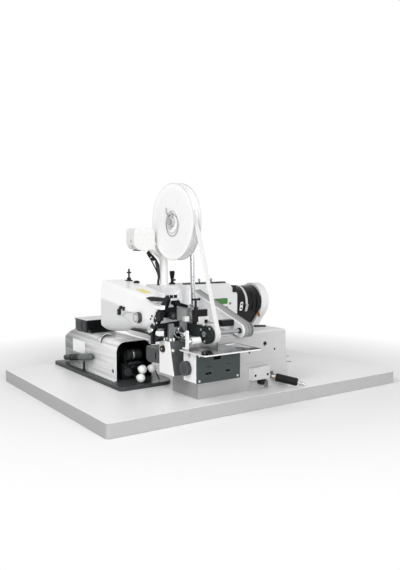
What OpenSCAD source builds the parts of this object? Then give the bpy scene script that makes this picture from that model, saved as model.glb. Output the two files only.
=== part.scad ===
// Blind stitch machine with a tape feed, on its table plate.
// Origin: centre of the table plate's underside. +X to the operator's right, +Y away from the operator, +Z up.

/* [Table] */
// Width of the table plate
table_w = 1100; // [1060:10:1300]
// Depth of the table plate
table_d = 800; // [790:10:1000]
// Thickness of the table plate
table_t = 40; // [25:1:50]
// Corner radius of the table plate
table_r = 12; // [4:1:30]

/* [Bed casting] */
// Left face of the bed's upper part, from the table's centre line
bed_x = -160; // [-170:1:-150]
// Front face of the bed, from the table's centre line
bed_y = -332; // [-336:1:-326]
// Width of the bed's upper part
bed_w = 261; // [248:1:275]
// Depth of the bed
bed_d = 132; // [120:1:150]
// Height of the bed over the table
bed_h = 176; // [168:1:190]
// Height of the plinth over the table
plinth_h = 80; // [70:1:84]
// How far the plinth reaches past the bed on the left
plinth_left = 72; // [68:1:76]
// How far the plinth flares out on the right
plinth_flare = 12; // [4:1:24]
// Height of the neck that carries the needle mechanism, over the table
neck_h = 158; // [152:1:162]

/* [Arm casting] */
// Length of the arm from the head to its right end
arm_w = 299; // [280:1:320]
// Height of the arm
arm_h = 108; // [100:1:116]
// Depth of the arm
arm_d = 110; // [96:1:130]
// Gap between the bed's top and the arm's underside
arm_gap = 24; // [16:1:32]
// How far the arm's front face stands behind the bed's front face
arm_setback = 240; // [230:1:250]
// Chamfer at the arm's upper right end
arm_chamfer = 38; // [20:1:50]

/* [Head casting] */
// Width of the head
head_w = 122; // [114:1:130]
// Length of the head from its back to its nose
head_len = 360; // [335:1:380]
// How far the nose stands behind the bed's front face
nose_setback = 89; // [86:1:96]
// Height of the head's back end
head_h = 174; // [165:1:178]
// How far the head's top stands above the arm's top
head_rise = 13; // [8:1:20]
// Fall of the head's top from its back to its nose
head_fall = 45; // [35:1:52]
// Rise of the head's underside from its back to its nose
head_tuck = 42; // [36:1:46]
// Width of the nose
nose_w = 44; // [36:1:50]

/* [Left unit] */
// Left edge of the unit's base plate, from the table's centre line
unit_x = -370; // [-380:1:-362]
// Front edge of the base plate, from the table's centre line
unit_y = -128; // [-134:1:-122]
// Width of the base plate
base_w = 194; // [186:1:204]
// Depth of the base plate
base_d = 520; // [505:1:525]
// Thickness of the base plate
base_t = 12; // [8:1:16]
// Width of the tunnel cover
cover_w = 131; // [126:1:140]
// Length of the tunnel cover
cover_len = 400; // [390:1:410]
// Height of the tunnel cover
cover_h = 124; // [118:1:128]
// Corner radius of the tunnel cover
cover_r = 33; // [20:1:40]
// Thickness of the cover's sheet
sheet_t = 2.5; // [1.5:0.5:4]

/* [Control box] */
// Width of the control box
box_w = 110; // [90:1:114]
// Depth of the control box
box_d = 98; // [80:1:110]
// Height of the control box without its lid
box_h = 37; // [30:1:46]
// Thickness of the control box lid
lid_t = 4; // [2:0.5:6]

/* [Metering box] */
// Width of the metering box
meter_w = 146; // [136:1:150]
// Depth of the metering box with its cover
meter_d = 68; // [60:1:72]
// Height of the metering box
meter_h = 84; // [80:1:88]
// Height of the metering box's underside over the table
meter_lift = 64; // [60:1:68]
// Thickness of the metering box's front cover
meter_cover_t = 6; // [4:0.5:8]
// Radius of the metering knob
meter_knob_r = 20; // [15:1:22]
// Thickness of the work plate
plate_t = 4; // [3:0.5:5]
// Depth of the work plate
plate_d = 126; // [116:1:132]
// Width of the work plate
plate_w = 194; // [186:1:202]

/* [Tape feed] */
// Radius of the feed wheel
wheel_r = 27; // [24:1:29]
// Width of the feed wheel
wheel_w = 19; // [17:1:22]
// How far the carrier plate's round end reaches past the wheel
disc_rim = 1.5; // [1:0.5:3]
// Width of the tape
tape_w = 14.5; // [10:0.5:16]
// Thickness of the tape
tape_t = 0.8; // [0.5:0.1:1.2]
// Radius of the reel's flanges
reel_r = 116; // [105:1:120]
// Width of the reel over its flanges
reel_w = 29; // [26:1:32]
// Thickness of a reel flange
flange_t = 2.5; // [1.5:0.5:4]
// Radius of the tape wound on the reel
roll_r = 100; // [70:1:102]
// Height of the reel's axis over the table
reel_h = 507; // [495:1:530]
// Radius of the reel post
post_r = 6; // [4:0.5:8]

/* [Motor and guard] */
// Radius of the motor housing
motor_r = 56; // [50:1:60]
// Length of the motor housing
motor_len = 107; // [90:1:125]
// Radius of the belt guard
guard_r = 64; // [60:1:70]
// Width of the belt guard
guard_w = 36; // [30:1:46]
// Radius of the arm shaft
shaft_r = 8; // [6:0.5:10]

/* [Lamp] */
// Radius of the lamp post
lamp_post_r = 13; // [10:0.5:15]
// Height of the lamp post's straight part over the arm
lamp_post_h = 72; // [60:1:90]
// Width of the lamp head
lamp_w = 74; // [60:1:80]
// Height of the lamp head
lamp_h = 68; // [55:1:75]
// Depth of the lamp head
lamp_d = 50; // [36:1:60]

/* [Knobs and levers] */
// Radius of the white ball knobs
ball_r = 13.5; // [11:0.5:14]
// Radius of the hand lever's grip
grip_r = 11; // [9:0.5:13]
// Length of the hand lever's grip
grip_len = 72; // [60:1:90]
// Radius of the needle mechanism's adjusting knob
adjust_r = 11; // [9:0.5:12]
// Radius of the head's thumbwheel
thumb_r = 16.5; // [13:0.5:18]

/* [Fits] */
// Radial clearance of a shaft that turns in a bore
run_fit = 0.05; // [0.02:0.01:0.09]
// Gap between faces that move past each other
face_gap = 0.4; // [0.3:0.1:1]
// Gap between the tape and the wheel or roll that carries it
tape_gap = 0.3; // [0.2:0.05:0.6]

/* [Hidden] */
$fn = 48;
EPS = 1;

// ---- levels and faces ----
top = table_t;
bed_top = top + bed_h;
bed_right = bed_x + bed_w;
bed_back = bed_y + bed_d;
neck_top = top + neck_h;
arm_z = bed_top + arm_gap;
arm_top = arm_z + arm_h;
arm_y = bed_y + arm_setback;
head_x = bed_x - 163;
head_right = head_x + head_w;
arm_x = head_right;
arm_right = arm_x + arm_w;
head_y0 = bed_y + nose_setback;
head_y1 = head_y0 + head_len;
head_top = arm_top + head_rise;
nose_top = head_top - head_fall;
head_bottom = head_top - head_h;
nose_bottom = head_bottom + head_tuck;
thumb_at = [head_y0 + 81.5, nose_bottom + 35];
thumb_w = 14;
post_seat = [head_right - 24, head_y1 - 33];
eyelet_seat = [head_right - 18, head_y1 - 74];

// ---- left unit ----
unit_top = top + base_t;
cover_x = unit_x + 29;
cover_y0 = unit_y + 86;
cover_y1 = cover_y0 + cover_len;
cover_top = unit_top + cover_h;
box_x = cover_x + 15;
box_y = cover_y0 + 247;
drive_x = cover_x + 68;
drive_y = cover_y0 + 26;
drive_z = unit_top + 74;
drive_r = 17.5;
drum_x = drive_x - 21;
drum_w = 50;
block_h = 54;
barrel_r = 28;
barrel_y = drive_y + drive_r + barrel_r + 10;
knob_y = cover_y0 - 58;
stud_r = 3.5;
ball_places = [[drive_x - 6, unit_top + 41], [drive_x - 12, unit_top + ball_r + 1], [drive_x + 28, unit_top + 40]];

// ---- column and metering box ----
column_x = bed_x - 134;
column_z = top + meter_lift + 5;
column_top = neck_top + 6;
column_y1 = bed_y + 105;
column_left = arm_right - 158;
column_w = 150;
neck_x = bed_x - plinth_left;
meter_x = bed_x - 120;
meter_z = top + meter_lift;
meter_top = meter_z + meter_h;
meter_y = bed_y - meter_d;
plate_x = meter_x - 17;
plate_y = bed_y - 2 - plate_d;
plate_top = meter_top + plate_t;
insert_at = [plate_x + 89, plate_y + 42];
insert_size = [56, 74];
meter_knob_at = [bed_y - 2 - 20, meter_z + 36];
meter_knob_w = 13;
side_plate_t = 3;
column_knob_at = [bed_y + 85, column_top - 24];

// ---- bed fittings ----
recess_x = bed_x + 112;
recess_w = 78;
recess_h = 30;
end_cover_t = 12;
dial_at = [bed_x + 173, bed_y + 20, top + 18];
lever_at = [bed_x + 196, bed_y + 6, top + 37];
lever_hub_w = 12;
lever_yaw = 34;
lever_tip = 10;
collar_at = 21.5;

// ---- tape feed: wheel and reel turn about axes along X ----
wheel_y = bed_y - 25;
wheel_z = plate_top + 11 + wheel_r;
disc_x = bed_x - 62;
disc_t = 12;
wheel_x = disc_x + disc_t + 3;
feed_r = 6;
link_x = bed_x + 60;
link_t = 34;
link_r = 21;
link_rear_r = 36;
link_rear = [arm_y - 2, arm_z + 58];
root_t = 12;
reel_y = arm_y - 75;
reel_z = top + reel_h;
tape_x = wheel_x + (wheel_w - tape_w) / 2;
tape_over = roll_r + tape_gap;
tape_under = wheel_r + tape_gap;
reel_x = tape_x + tape_w / 2 - reel_w / 2;
// direction, seen from +X, at which the tape leaves the roll and meets the wheel
tape_span = [wheel_y - reel_y, wheel_z - reel_z];
tape_lean = acos((tape_over - tape_under) / norm(tape_span));
tape_dir = atan2(tape_span[1], tape_span[0]) - tape_lean;
axle_r = 5;
post_x = reel_x + reel_w + 40;
post_y = reel_y;

roller_r = 10;
roller_y = wheel_y + 17;
roller_z = plate_top + 19;
roller_x = disc_x - 38;
roller_w = 29;
guide_y = wheel_y + 55;
guide_d = 12;
disc_r = wheel_r + disc_rim;
carrier_top = wheel_z + 22;

// ---- needle mechanism ----
bracket_y = wheel_y + 93;
bracket_t = 8;
bracket_w = 60;
bracket_x = disc_x - 62;
bracket_top = column_top + 54;
bar_h = 32;
frame_y = bracket_y + bracket_t;
frame_t = 7;
needle_at = [bracket_x + 34, column_top + 31];
needle_r = 26;
lever_t = 5;
adjust_at = [bracket_x + 1, column_top + 74];
side_arm_x = head_x + 1;
side_arm_t = 11;
clamp_at = [bracket_x + 24, column_top + 109];
ring_at = [bracket_x + 61, column_top + 30];

// ---- motor and guard on the arm shaft ----
shaft_y = arm_y + 60;
shaft_z = arm_z + 36;
motor_tip = [shaft_y, shaft_z - 66];
guard_tip = [shaft_y, shaft_z - 78];
motor_tip_r = 14;
guard_x = arm_right + motor_len;
guard_wall = 3;
pulley_r = 42;

// ---- lamp ----
lamp_x = arm_x + 27;
lamp_y = arm_y + 36;
neck_bend_r = 34;
neck_angle = 52;
neck_run = 46;
lamp_pivot = [lamp_x - 61, arm_top + lamp_post_h + 58];
tongue_t = 10;
cable_r = 3.5;
cable_route = [[-58, 108], [-43, 95], [-29, 81], [-20, 64], [-18.5, 40], [-18.5, 24], [-21, 12], [-21, 0]];

// ---- helpers ----
function unit(v) = v / norm(v);
function half_angle(a, b, c) = acos(unit(a - b) * unit(c - b)) / 2;
function fillet_centre(a, b, c, r) = b + unit(unit(a - b) + unit(c - b)) * r / sin(half_angle(a, b, c));
function foot_on(p, a, b) = a + (b - a) * ((p - a) * (b - a)) / ((b - a) * (b - a));
function bearing(v) = atan2(v[1], v[0]);
function short_turn(a) = a > 180 ? a - 360 : a < -180 ? a + 360 : a;

// Points of one rounded corner b between its neighbours a and c
function corner_points(a, b, c, r, n) =
    r == 0 ? [b] :
    let (m = fillet_centre(a, b, c, r), t0 = bearing(foot_on(m, a, b) - m), t1 = bearing(foot_on(m, b, c) - m),
         turn = short_turn(t1 - t0))
    [for (k = [0 : n]) m + r * [cos(t0 + turn * k / n), sin(t0 + turn * k / n)]];

// Closed outline through the given points, each with its own corner radius
module rounded_outline(pts, radii, n = 6) {
    last = len(pts) - 1;
    polygon([for (i = [0 : last])
        each corner_points(pts[(i + last) % (last + 1)], pts[i], pts[(i + 1) % (last + 1)], radii[i], n)]);
}

// Rectangle from corner p with one radius on every corner
module soft_rect(p, size, r, n = 5) {
    translate(p)
        rounded_outline([[0, 0], [size[0], 0], size, [0, size[1]]], [r, r, r, r], n);
}

// Two circles joined by their outer tangents
module tangent_link(c1, r1, c2, r2) {
    d = norm(c2 - c1);
    u = unit(c2 - c1);
    side = [-u[1], u[0]];
    lean = (r1 - r2) / d;
    rise = sqrt(1 - lean * lean);
    polygon([c1 + r1 * (u * lean + side * rise), c2 + r2 * (u * lean + side * rise),
        c2 + r2 * (u * lean - side * rise), c1 + r1 * (u * lean - side * rise)]);
    translate(c1) circle(r1);
    translate(c2) circle(r2);
}

// Extrusions of outlines drawn in (Y, Z), (X, Z) and (X, Y)
module along_x(x, w) translate([x, 0, 0]) rotate([90, 0, 90]) linear_extrude(w) children();
module along_y(y, d) translate([0, y + d, 0]) rotate([90, 0, 0]) linear_extrude(d) children();
module along_z(z, h) translate([0, 0, z]) linear_extrude(h) children();

// Round bars along each axis, starting at p
module x_bar(p, r, l) translate(p) rotate([0, 90, 0]) cylinder(r = r, h = l);
module y_bar(p, r, l) translate(p) rotate([-90, 0, 0]) cylinder(r = r, h = l);
module z_bar(p, r, l) translate(p) cylinder(r = r, h = l);
module block(p, size) translate(p) cube(size);

// Cap screw heads along -Y and -X, seated on a face at p
module screw_y(p, r, h) y_bar([p[0], p[1] - h, p[2]], r, h);
module screw_x(p, r, h) x_bar([p[0] - h, p[1], p[2]], r, h);

// ---- table ----
module table_plate() {
    color("gainsboro")
        difference() {
            along_z(0, table_t) soft_rect([-table_w / 2, -table_d / 2], [table_w, table_d], table_r);
            z_bar([table_w / 2 - 113, 23, -EPS], 9, table_t + 2 * EPS);
            z_bar([table_w / 2 - 182, -60, -EPS], 11, table_t + 2 * EPS);
        }
}

// ---- left unit ----
module left_base_plate() {
    color([0.16, 0.17, 0.18])
        along_z(top, base_t)
            rounded_outline([[unit_x, unit_y], [unit_x + base_w, unit_y],
                [unit_x + base_w, unit_y + base_d], [unit_x, unit_y + base_d]], [14, 45, 8, 8]);
}

module cover_section(inset) {
    r = cover_r - inset;
    rounded_outline([[cover_x + inset, unit_top], [cover_x + cover_w - inset, unit_top],
        [cover_x + cover_w - inset, cover_top - inset], [cover_x + inset, cover_top - inset]], [0, 0, r, r]);
}

module cover_side(inset) {
    rounded_outline([[cover_y0 - EPS * (1 + inset), unit_top - EPS * inset], [cover_y1 - inset, unit_top - EPS * inset],
        [cover_y1 - inset, cover_top - 32], [cover_y1 - 38, cover_top - inset],
        [cover_y0 - EPS * (1 + inset), cover_top - inset]], [0, 0, 6, 6, 0], 3);
}

module motor_cover() {
    color([0.78, 0.79, 0.8]) {
        difference() {
            intersection() {
                along_y(cover_y0, cover_len) cover_section(0);
                along_x(cover_x - EPS, cover_w + 2 * EPS) cover_side(0);
            }
            intersection() {
                along_y(cover_y0 - EPS, cover_len - sheet_t + EPS) cover_section(sheet_t);
                along_x(cover_x - EPS, cover_w + 2 * EPS) cover_side(sheet_t);
            }
            x_bar([cover_x - EPS, cover_y0 + 22, unit_top + 29], 6.5, sheet_t + 2 * EPS);
        }
        // foot flange
        block([cover_x - 9, cover_y0 + 2, unit_top], [9 + sheet_t, cover_len - 60, sheet_t]);
        // arched grip pressed out of the left shoulder, open to the front
        difference() {
            grip_bar(30, 46);
            translate([0, -EPS, 0]) grip_bar(28, 48);
            along_y(cover_y0, cover_len) cover_section(sheet_t);
        }
    }
}

// Tilted bar under the cover's grip
module grip_bar(r, l) {
    translate([cover_x + 29, cover_y0 + 108, cover_top - 18]) rotate([-108, 0, 0]) cylinder(r = r, h = l);
}

module control_box() {
    color([0.13, 0.14, 0.15]) {
        difference() {
            along_z(cover_top, box_h) soft_rect([box_x, box_y], [box_w, box_d], 4);
            // cooling ribs on the left side
            for (k = [0 : 7])
                block([box_x - EPS, box_y + 12 + k * 9, cover_top + 6], [EPS + 1.5, 3, box_h - 12]);
        }
        along_x(box_x + 4, box_w - 8)
            polygon([[box_y, cover_top], [box_y, cover_top + 12], [box_y - 34, cover_top + 2], [box_y - 34, cover_top]]);
    }
}

module control_box_lid() {
    color([0.82, 0.83, 0.82])
        along_z(cover_top + box_h, lid_t) soft_rect([box_x - 2, box_y - 2], [box_w + 4, box_d + 4], 5);
}

module cable_connector() {
    plug_x = cover_x - 13;
    color([0.1, 0.1, 0.11]) {
        translate([plug_x, cover_y0 + 365, unit_top + 22]) rotate([-9, 0, 0]) {
            rotate([90, 0, 0]) cylinder(r = 9.5, h = 132);
            for (k = [0 : 5])
                rotate([90, 0, 0]) translate([0, 0, 50 + k * 12]) cylinder(r = 11.5, h = 6);
        }
        // strap that carries the plug
        block([plug_x - 2.5, cover_y0 + 206, unit_top], [5, 9, 40]);
    }
    color([0.42, 0.47, 0.46])
        translate([plug_x, cover_y0 + 242, unit_top + 41.5]) rotate([-9, 0, 0]) {
            rotate([90, 0, 0]) cylinder(r = 12, h = 84);
            translate([0, -84, 0]) sphere(r = 12);
        }
}

module drive_motor() {
    block_x = drum_x - 22;
    block_w = 76;
    block_y = drive_y - 22;
    color([0.2, 0.21, 0.22]) {
        // motor barrel along X on its foot
        x_bar([block_x, barrel_y, drive_z - 8], barrel_r, 92);
        block([block_x, drive_y + 20, unit_top], [92, barrel_y - drive_y + 4, drive_z - 2 - unit_top - barrel_r]);
        // valve block in front of the barrel, with the pulley's bearing and a top plate on it
        block([block_x, block_y, unit_top], [block_w, 44, block_h - 5]);
        block([block_x + 20, block_y - 4, unit_top + block_h - 5 - EPS], [44, 48, 5 + EPS]);
        y_bar([block_x + 18, block_y - 5, unit_top + 24], 13, 6);
        difference() {
            along_x(drum_x - 8, 6)
                rounded_outline([[drive_y - 9, unit_top + block_h - 6], [drive_y + 9, unit_top + block_h - 6],
                    [drive_y + 9, drive_z + 9], [drive_y - 9, drive_z + 9]], [0, 0, 8, 8]);
            x_bar([drum_x - 8 - EPS, drive_y, drive_z], 4 + run_fit, 6 + 2 * EPS);
        }
        // bent locking rod beside the balls
        translate([drum_x + 63, knob_y, unit_top + 27]) {
            rotate([162, -18, 0]) cylinder(r = 1.8, h = 27);
            sphere(r = 2.6);
            y_bar([0, 0, 0], 1.8, block_y - knob_y + 4);
        }
        block([block_x + block_w - EPS, block_y, unit_top + 22], [14, 8, 10]);
    }
    color([0.75, 0.76, 0.77]) {
        for (p = ball_places)
            y_bar([p[0], knob_y, p[1]], stud_r, block_y - knob_y + EPS);
        for (p = [[34, 38], [60, 14], [10, 40]])
            screw_y([block_x + p[0], block_y, unit_top + p[1]], 3.2, 3);
        for (k = [0, 1])
            z_bar([block_x + 30 + k * 20, block_y + 4, unit_top + block_h], 3.2, 3);
    }
}

module drive_pulley() {
    color([0.3, 0.31, 0.32]) {
        difference() {
            x_bar([drum_x, drive_y, drive_z], drive_r, drum_w);
            for (k = [0 : 6])
                translate([drum_x + 16 + k * 5, drive_y, drive_z]) rotate([0, 90, 0])
                    rotate_extrude() translate([drive_r, 0]) circle(r = 1.5, $fn = 16);
            // step beside the bright ring
            translate([drum_x + 9, drive_y, drive_z]) rotate([0, 90, 0])
                rotate_extrude() translate([drive_r - 1, 0]) square([2, 3]);
        }
        x_bar([drum_x - 8, drive_y, drive_z], 4, 9);
    }
}

module white_ball(p) {
    color([0.95, 0.95, 0.95])
        difference() {
            union() {
                translate([p[0], knob_y, p[1]]) sphere(r = ball_r);
                y_bar([p[0], knob_y, p[1]], 7.5, ball_r + 4);
            }
            y_bar([p[0], knob_y - face_gap, p[1]], stud_r + run_fit, ball_r + 4 + face_gap + EPS);
        }
}

module clamp_knob_1() white_ball(ball_places[0]);
module clamp_knob_2() white_ball(ball_places[1]);
module clamp_knob_3() white_ball(ball_places[2]);

// ---- bed ----
module bed_section() {
    polygon([[neck_x, top], [bed_right + plinth_flare, top], [bed_right + 3, top + plinth_h], [bed_right, bed_top],
        [bed_x, bed_top], [bed_x, top + plinth_h], [neck_x, top + plinth_h]]);
}

module bed_casting() {
    color([0.82, 0.82, 0.83])
        difference() {
            union() {
                // upper box and plinth with a rounded upper edge
                intersection() {
                    along_y(bed_y, bed_d) bed_section();
                    along_x(neck_x - EPS, bed_right - neck_x + plinth_flare + 2 * EPS)
                        rounded_outline([[bed_y, top - EPS], [bed_y, bed_top], [bed_back, bed_top], [bed_back, top - EPS]],
                            [0, 9, 9, 0]);
                }
                // proud front of the plinth, whose ledge rises to the right
                along_y(bed_y - 2, 4)
                    polygon([[neck_x, top], [bed_right + plinth_flare, top], [bed_right + 3, top + plinth_h + 7],
                        [neck_x, top + plinth_h - 5]]);
                // neck under the needle mechanism
                block([neck_x, bed_y + 7, top + plinth_h - EPS], [plinth_left + EPS, bed_d - 20, neck_h - plinth_h + EPS]);
                // base behind the bed, and the column that carries the arm
                along_z(top, bed_h - 14)
                    soft_rect([column_left, bed_back - 20], [column_w, arm_y + arm_d - 8 - bed_back + 20], 10);
                along_z(top, arm_z - top) soft_rect([column_left, arm_y + 8], [column_w, arm_d - 16], 10);
            }
            // oil hole and screw holes in the front
            y_bar([bed_x + 178, bed_y - EPS, top + 137], 7, 30);
            y_bar([bed_x + 117, bed_y - EPS, top + 116], 3.5, 10);
            y_bar([bed_x + 217, bed_y - EPS, top + 117], 3.5, 10);
            // recess with the dial's bore
            block([recess_x, bed_y - 3, top - EPS], [recess_w, 23, recess_h - 8 + EPS]);
            along_y(bed_y - 3, 23)
                soft_rect([recess_x + 3, top - 20], [recess_w - 8, recess_h + 20], 10);
            y_bar([dial_at[0], dial_at[1], dial_at[2]], 4 + run_fit, 26);
            // relief under the link cover
            along_x(link_x - 3, link_t + 6)
                tangent_link([wheel_y, wheel_z], link_r + 3, link_rear, link_rear_r + 3);
            // pocket and pin bore of the hand lever
            block([lever_at[0] - lever_hub_w / 2 - 1, bed_y - 3, lever_at[2] - 8.5], [22, 18, 21]);
            x_bar([lever_at[0] - 16, lever_at[1], lever_at[2]], 3 + run_fit, 38);
        }
}

module bed_end_cover() {
    cover_z = top + recess_h + 2;
    color([0.84, 0.84, 0.85])
        difference() {
            intersection() {
                along_y(bed_y - 2 - end_cover_t, end_cover_t)
                    rounded_outline([[recess_x, cover_z], [recess_x + recess_w, cover_z],
                        [recess_x + recess_w, top + 73], [recess_x, top + 69]], [3, 3, 5, 5]);
                along_z(top, 100)
                    polygon([[recess_x, bed_y - 2], [recess_x + recess_w, bed_y - 2],
                        [recess_x + recess_w - 3, bed_y - 2 - end_cover_t], [recess_x + 11, bed_y - 2 - end_cover_t]]);
            }
            for (p = [[18, 46], [66, 45]])
                y_bar([recess_x + p[0], bed_y - 2 - end_cover_t - EPS, top + p[1]], 4, 8);
        }
}

module bed_knob() {
    color([0.08, 0.08, 0.09]) {
        difference() {
            y_bar([dial_at[0], dial_at[1] - 17, dial_at[2]], 9, 17 - face_gap);
            for (a = [0 : 30 : 330])
                translate([dial_at[0], 0, dial_at[2]]) rotate([0, a, 0]) translate([9.4, 0, 0])
                    y_bar([0, dial_at[1] - 18, 0], 1.1, 11, $fn = 16);
        }
        y_bar([dial_at[0], dial_at[1] - 1, dial_at[2]], 4, 25);
    }
}

module bed_cap() {
    color([0.07, 0.07, 0.08])
        along_z(bed_top, 4)
            rounded_outline([[bed_x + 206, bed_y + 84], [bed_x + 244, bed_y + 68], [bed_x + 250, bed_y + 86],
                [bed_x + 212, bed_y + 100]], [8, 9, 8, 9], 6);
}

// Local frame of the hand lever: its bar points along -Z before it is turned and tipped
module lever_frame() translate(lever_at) rotate([0, 0, lever_yaw]) rotate([90 + lever_tip, 0, 0]) children();

module lever_shaft() {
    bar = collar_at + 4 + grip_len + 16;
    color([0.72, 0.7, 0.68]) {
        x_bar([lever_at[0] - lever_hub_w / 2, lever_at[1], lever_at[2]], 7, lever_hub_w);
        x_bar([lever_at[0] - 14, lever_at[1], lever_at[2]], 3, 34);
        lever_frame() {
            cylinder(r = 4.5, h = bar);
            translate([0, 0, bar - 14]) cylinder(r1 = 8, r2 = 5, h = 14);
            translate([0, 0, bar]) sphere(r = 6);
        }
    }
    color([0.8, 0.45, 0.25])
        lever_frame() translate([0, 0, collar_at]) cylinder(r = grip_r - 1, h = 4);
}

module lever_grip() {
    color([0.07, 0.08, 0.08])
        lever_frame() translate([0, 0, collar_at + 4])
            difference() {
                rotate_extrude()
                    rounded_outline([[0, 0], [grip_r, 0], [grip_r + 0.5, grip_len * 0.4], [grip_r - 1, grip_len - 2], [0, grip_len - 2]],
                        [0, 2, 30, 3, 0]);
                translate([0, 0, -EPS]) cylinder(r = 4.5, h = grip_len + 2 * EPS);
            }
}

// ---- column and housings on the left of the bed ----
// Front face of the column at height z
function column_front(z) = bed_y + 29 + (z - column_z) * 24 / (column_top - column_z);

module column_side() {
    polygon([[column_front(column_z), column_z], [column_front(column_top), column_top], [column_y1, column_top],
        [column_y1, column_z]]);
}

module column_housing() {
    color([0.38, 0.4, 0.4])
        difference() {
            along_x(column_x + side_plate_t, neck_x - column_x - side_plate_t) column_side();
            x_bar([column_x, column_knob_at[0], column_knob_at[1]], 4 + run_fit, 22);
        }
    color([0.93, 0.93, 0.93])
        screw_y([column_x + 9, column_front(column_z + 70) + 1, column_z + 70], 4.2, 3.5);
}

module column_side_plate() {
    color([0.95, 0.95, 0.95])
        difference() {
            along_x(column_x, side_plate_t) column_side();
            x_bar([column_x - EPS, column_knob_at[0], column_knob_at[1]], 4 + run_fit, side_plate_t + 2 * EPS);
        }
}

module column_knob() {
    color([0.25, 0.24, 0.22])
        x_bar([column_x - 10, column_knob_at[0], column_knob_at[1]], 10, 10 - face_gap);
    color([0.85, 0.6, 0.2])
        x_bar([column_x - 3, column_knob_at[0], column_knob_at[1]], 11.5, 3 - face_gap);
    color([0.25, 0.24, 0.22])
        x_bar([column_x - 1, column_knob_at[0], column_knob_at[1]], 4, 20);
}

module side_housing() {
    color([0.36, 0.38, 0.38])
        difference() {
            along_x(column_x, 52)
                rounded_outline([[column_y1, column_z + 25], [column_y1 + 62, column_z + 20], [column_y1 + 77, column_z + 28],
                    [column_y1 + 77, column_top - 27], [column_y1, column_top - 25]], [0, 6, 4, 10, 0]);
            // grip slot in the left side
            along_x(column_x - EPS, 4 + EPS)
                tangent_link([column_y1 + 24, column_z + 36], 3, [column_y1 + 22, column_z + 52], 3.2);
        }
}

// ---- metering box ----
module metering_box() {
    depth = meter_d - meter_cover_t;
    color([0.94, 0.94, 0.94])
        difference() {
            block([meter_x, bed_y - 2 - depth, meter_z], [meter_w, depth, meter_h]);
            block([meter_x + 2.5, bed_y - 2 - depth - EPS, meter_z + 2.5], [meter_w - 5, depth - 8, meter_h - 5]);
            x_bar([meter_x - EPS, meter_knob_at[0], meter_knob_at[1]], 5 + run_fit, 2.5 + 2 * EPS);
        }
    color([0.8, 0.8, 0.8])
        difference() {
            screw_x([meter_x, bed_y - 2 - 27, meter_top - 11], 5.5, 2);
            x_bar([meter_x - 2 - EPS, bed_y - 2 - 27, meter_top - 11], 3, 1 + EPS);
        }
}

module metering_cover() {
    y0 = bed_y - 2 - meter_d;
    color([0.2, 0.23, 0.23])
        difference() {
            union() {
                along_y(y0, meter_cover_t) soft_rect([meter_x, meter_z], [meter_w, meter_h], 2, 3);
                block([meter_x + 3, y0 + meter_cover_t - EPS, meter_z + 3], [meter_w - 6, EPS + 2, 8]);
            }
            // top notch and two slots
            block([meter_x + 54, y0 - EPS, meter_top - 23], [24, meter_cover_t + 2 * EPS, 17]);
            for (p = [[29, 25, 15, 3.2], [97, 26, 11, 2.6]]) {
                along_y(y0 - EPS, meter_cover_t + 2 * EPS)
                    tangent_link([meter_x + p[0], meter_z + p[1]], p[3], [meter_x + p[0] + p[2], meter_z + p[1]], p[3]);
                block([meter_x + p[0] - 1, y0 - EPS, meter_z + p[1] + 17], [18, 1.5 + EPS, 2.4]);
            }
        }
}

module metering_knob() {
    at = meter_knob_at;
    color([0.33, 0.34, 0.35])
        difference() {
            x_bar([meter_x - meter_knob_w, at[0], at[1]], meter_knob_r, meter_knob_w - face_gap);
            for (a = [0 : 15 : 345])
                translate([0, at[0], at[1]]) rotate([a, 0, 0]) translate([meter_x - meter_knob_w - 1, 0, meter_knob_r + 0.6])
                    rotate([0, 90, 0]) cylinder(r = 1.3, h = meter_knob_w - 3, $fn = 16);
        }
    color([0.33, 0.34, 0.35]) x_bar([meter_x - 1, at[0], at[1]], 5, 12);
}

module cover_screws() {
    y0 = bed_y - 2 - meter_d;
    color([0.92, 0.92, 0.92])
        for (p = [[5.5, 7], [5.5, meter_h - 8], [meter_w - 10, 8], [85, meter_h - 9]])
            difference() {
                screw_y([meter_x + p[0], y0, meter_z + p[1]], 3.4, 2);
                block([meter_x + p[0] - 4, y0 - 2 - EPS, meter_z + p[1] - 0.5], [8, 1 + EPS, 1]);
            }
}

module work_plate() {
    color([0.75, 0.76, 0.77])
        difference() {
            along_z(meter_top, plate_t)
                rounded_outline([[plate_x, plate_y], [plate_x + plate_w, plate_y],
                    [plate_x + plate_w, plate_y + plate_d], [plate_x, plate_y + plate_d]], [5, 5, 4, 8]);
            along_z(plate_top - 1.5, 1.5 + EPS) soft_rect(insert_at, insert_size, 4);
            // dark slot at the right
            along_z(meter_top - EPS, plate_t + 2 * EPS)
                polygon([[insert_at[0] + insert_size[0] + 3, insert_at[1] + insert_size[1]],
                    [insert_at[0] + insert_size[0] + 3, insert_at[1] + insert_size[1] - 46],
                    [plate_x + plate_w - 9, plate_y + 22], [plate_x + plate_w - 5, plate_y + plate_d - 8]]);
        }
}

module plate_insert() {
    color([0.86, 0.87, 0.88])
        difference() {
            along_z(plate_top - 1.5, 1.5) soft_rect(insert_at, insert_size, 4);
            // needle slot
            along_z(plate_top - 2, 3)
                tangent_link(insert_at + [12, insert_size[1] - 8], 2, insert_at + [40, insert_size[1] - 8], 2);
        }
}

// ---- head ----
// Height of the head's sloping top at y
function head_surface(y) = head_top - (head_y1 - y) * head_fall / head_len;

module head_side() {
    rounded_outline([[head_y1, head_top], [head_y0, nose_top], [head_y0, nose_bottom], [head_y1, head_bottom]],
        [8, 12, 30, 50], 8);
}

module head_plan() {
    rounded_outline([[head_x, head_y0], [head_x + nose_w, head_y0], [head_right, arm_y - 10], [head_right, head_y1],
        [head_x, head_y1]], [12, 14, 40, 14, 26], 7);
}

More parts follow.
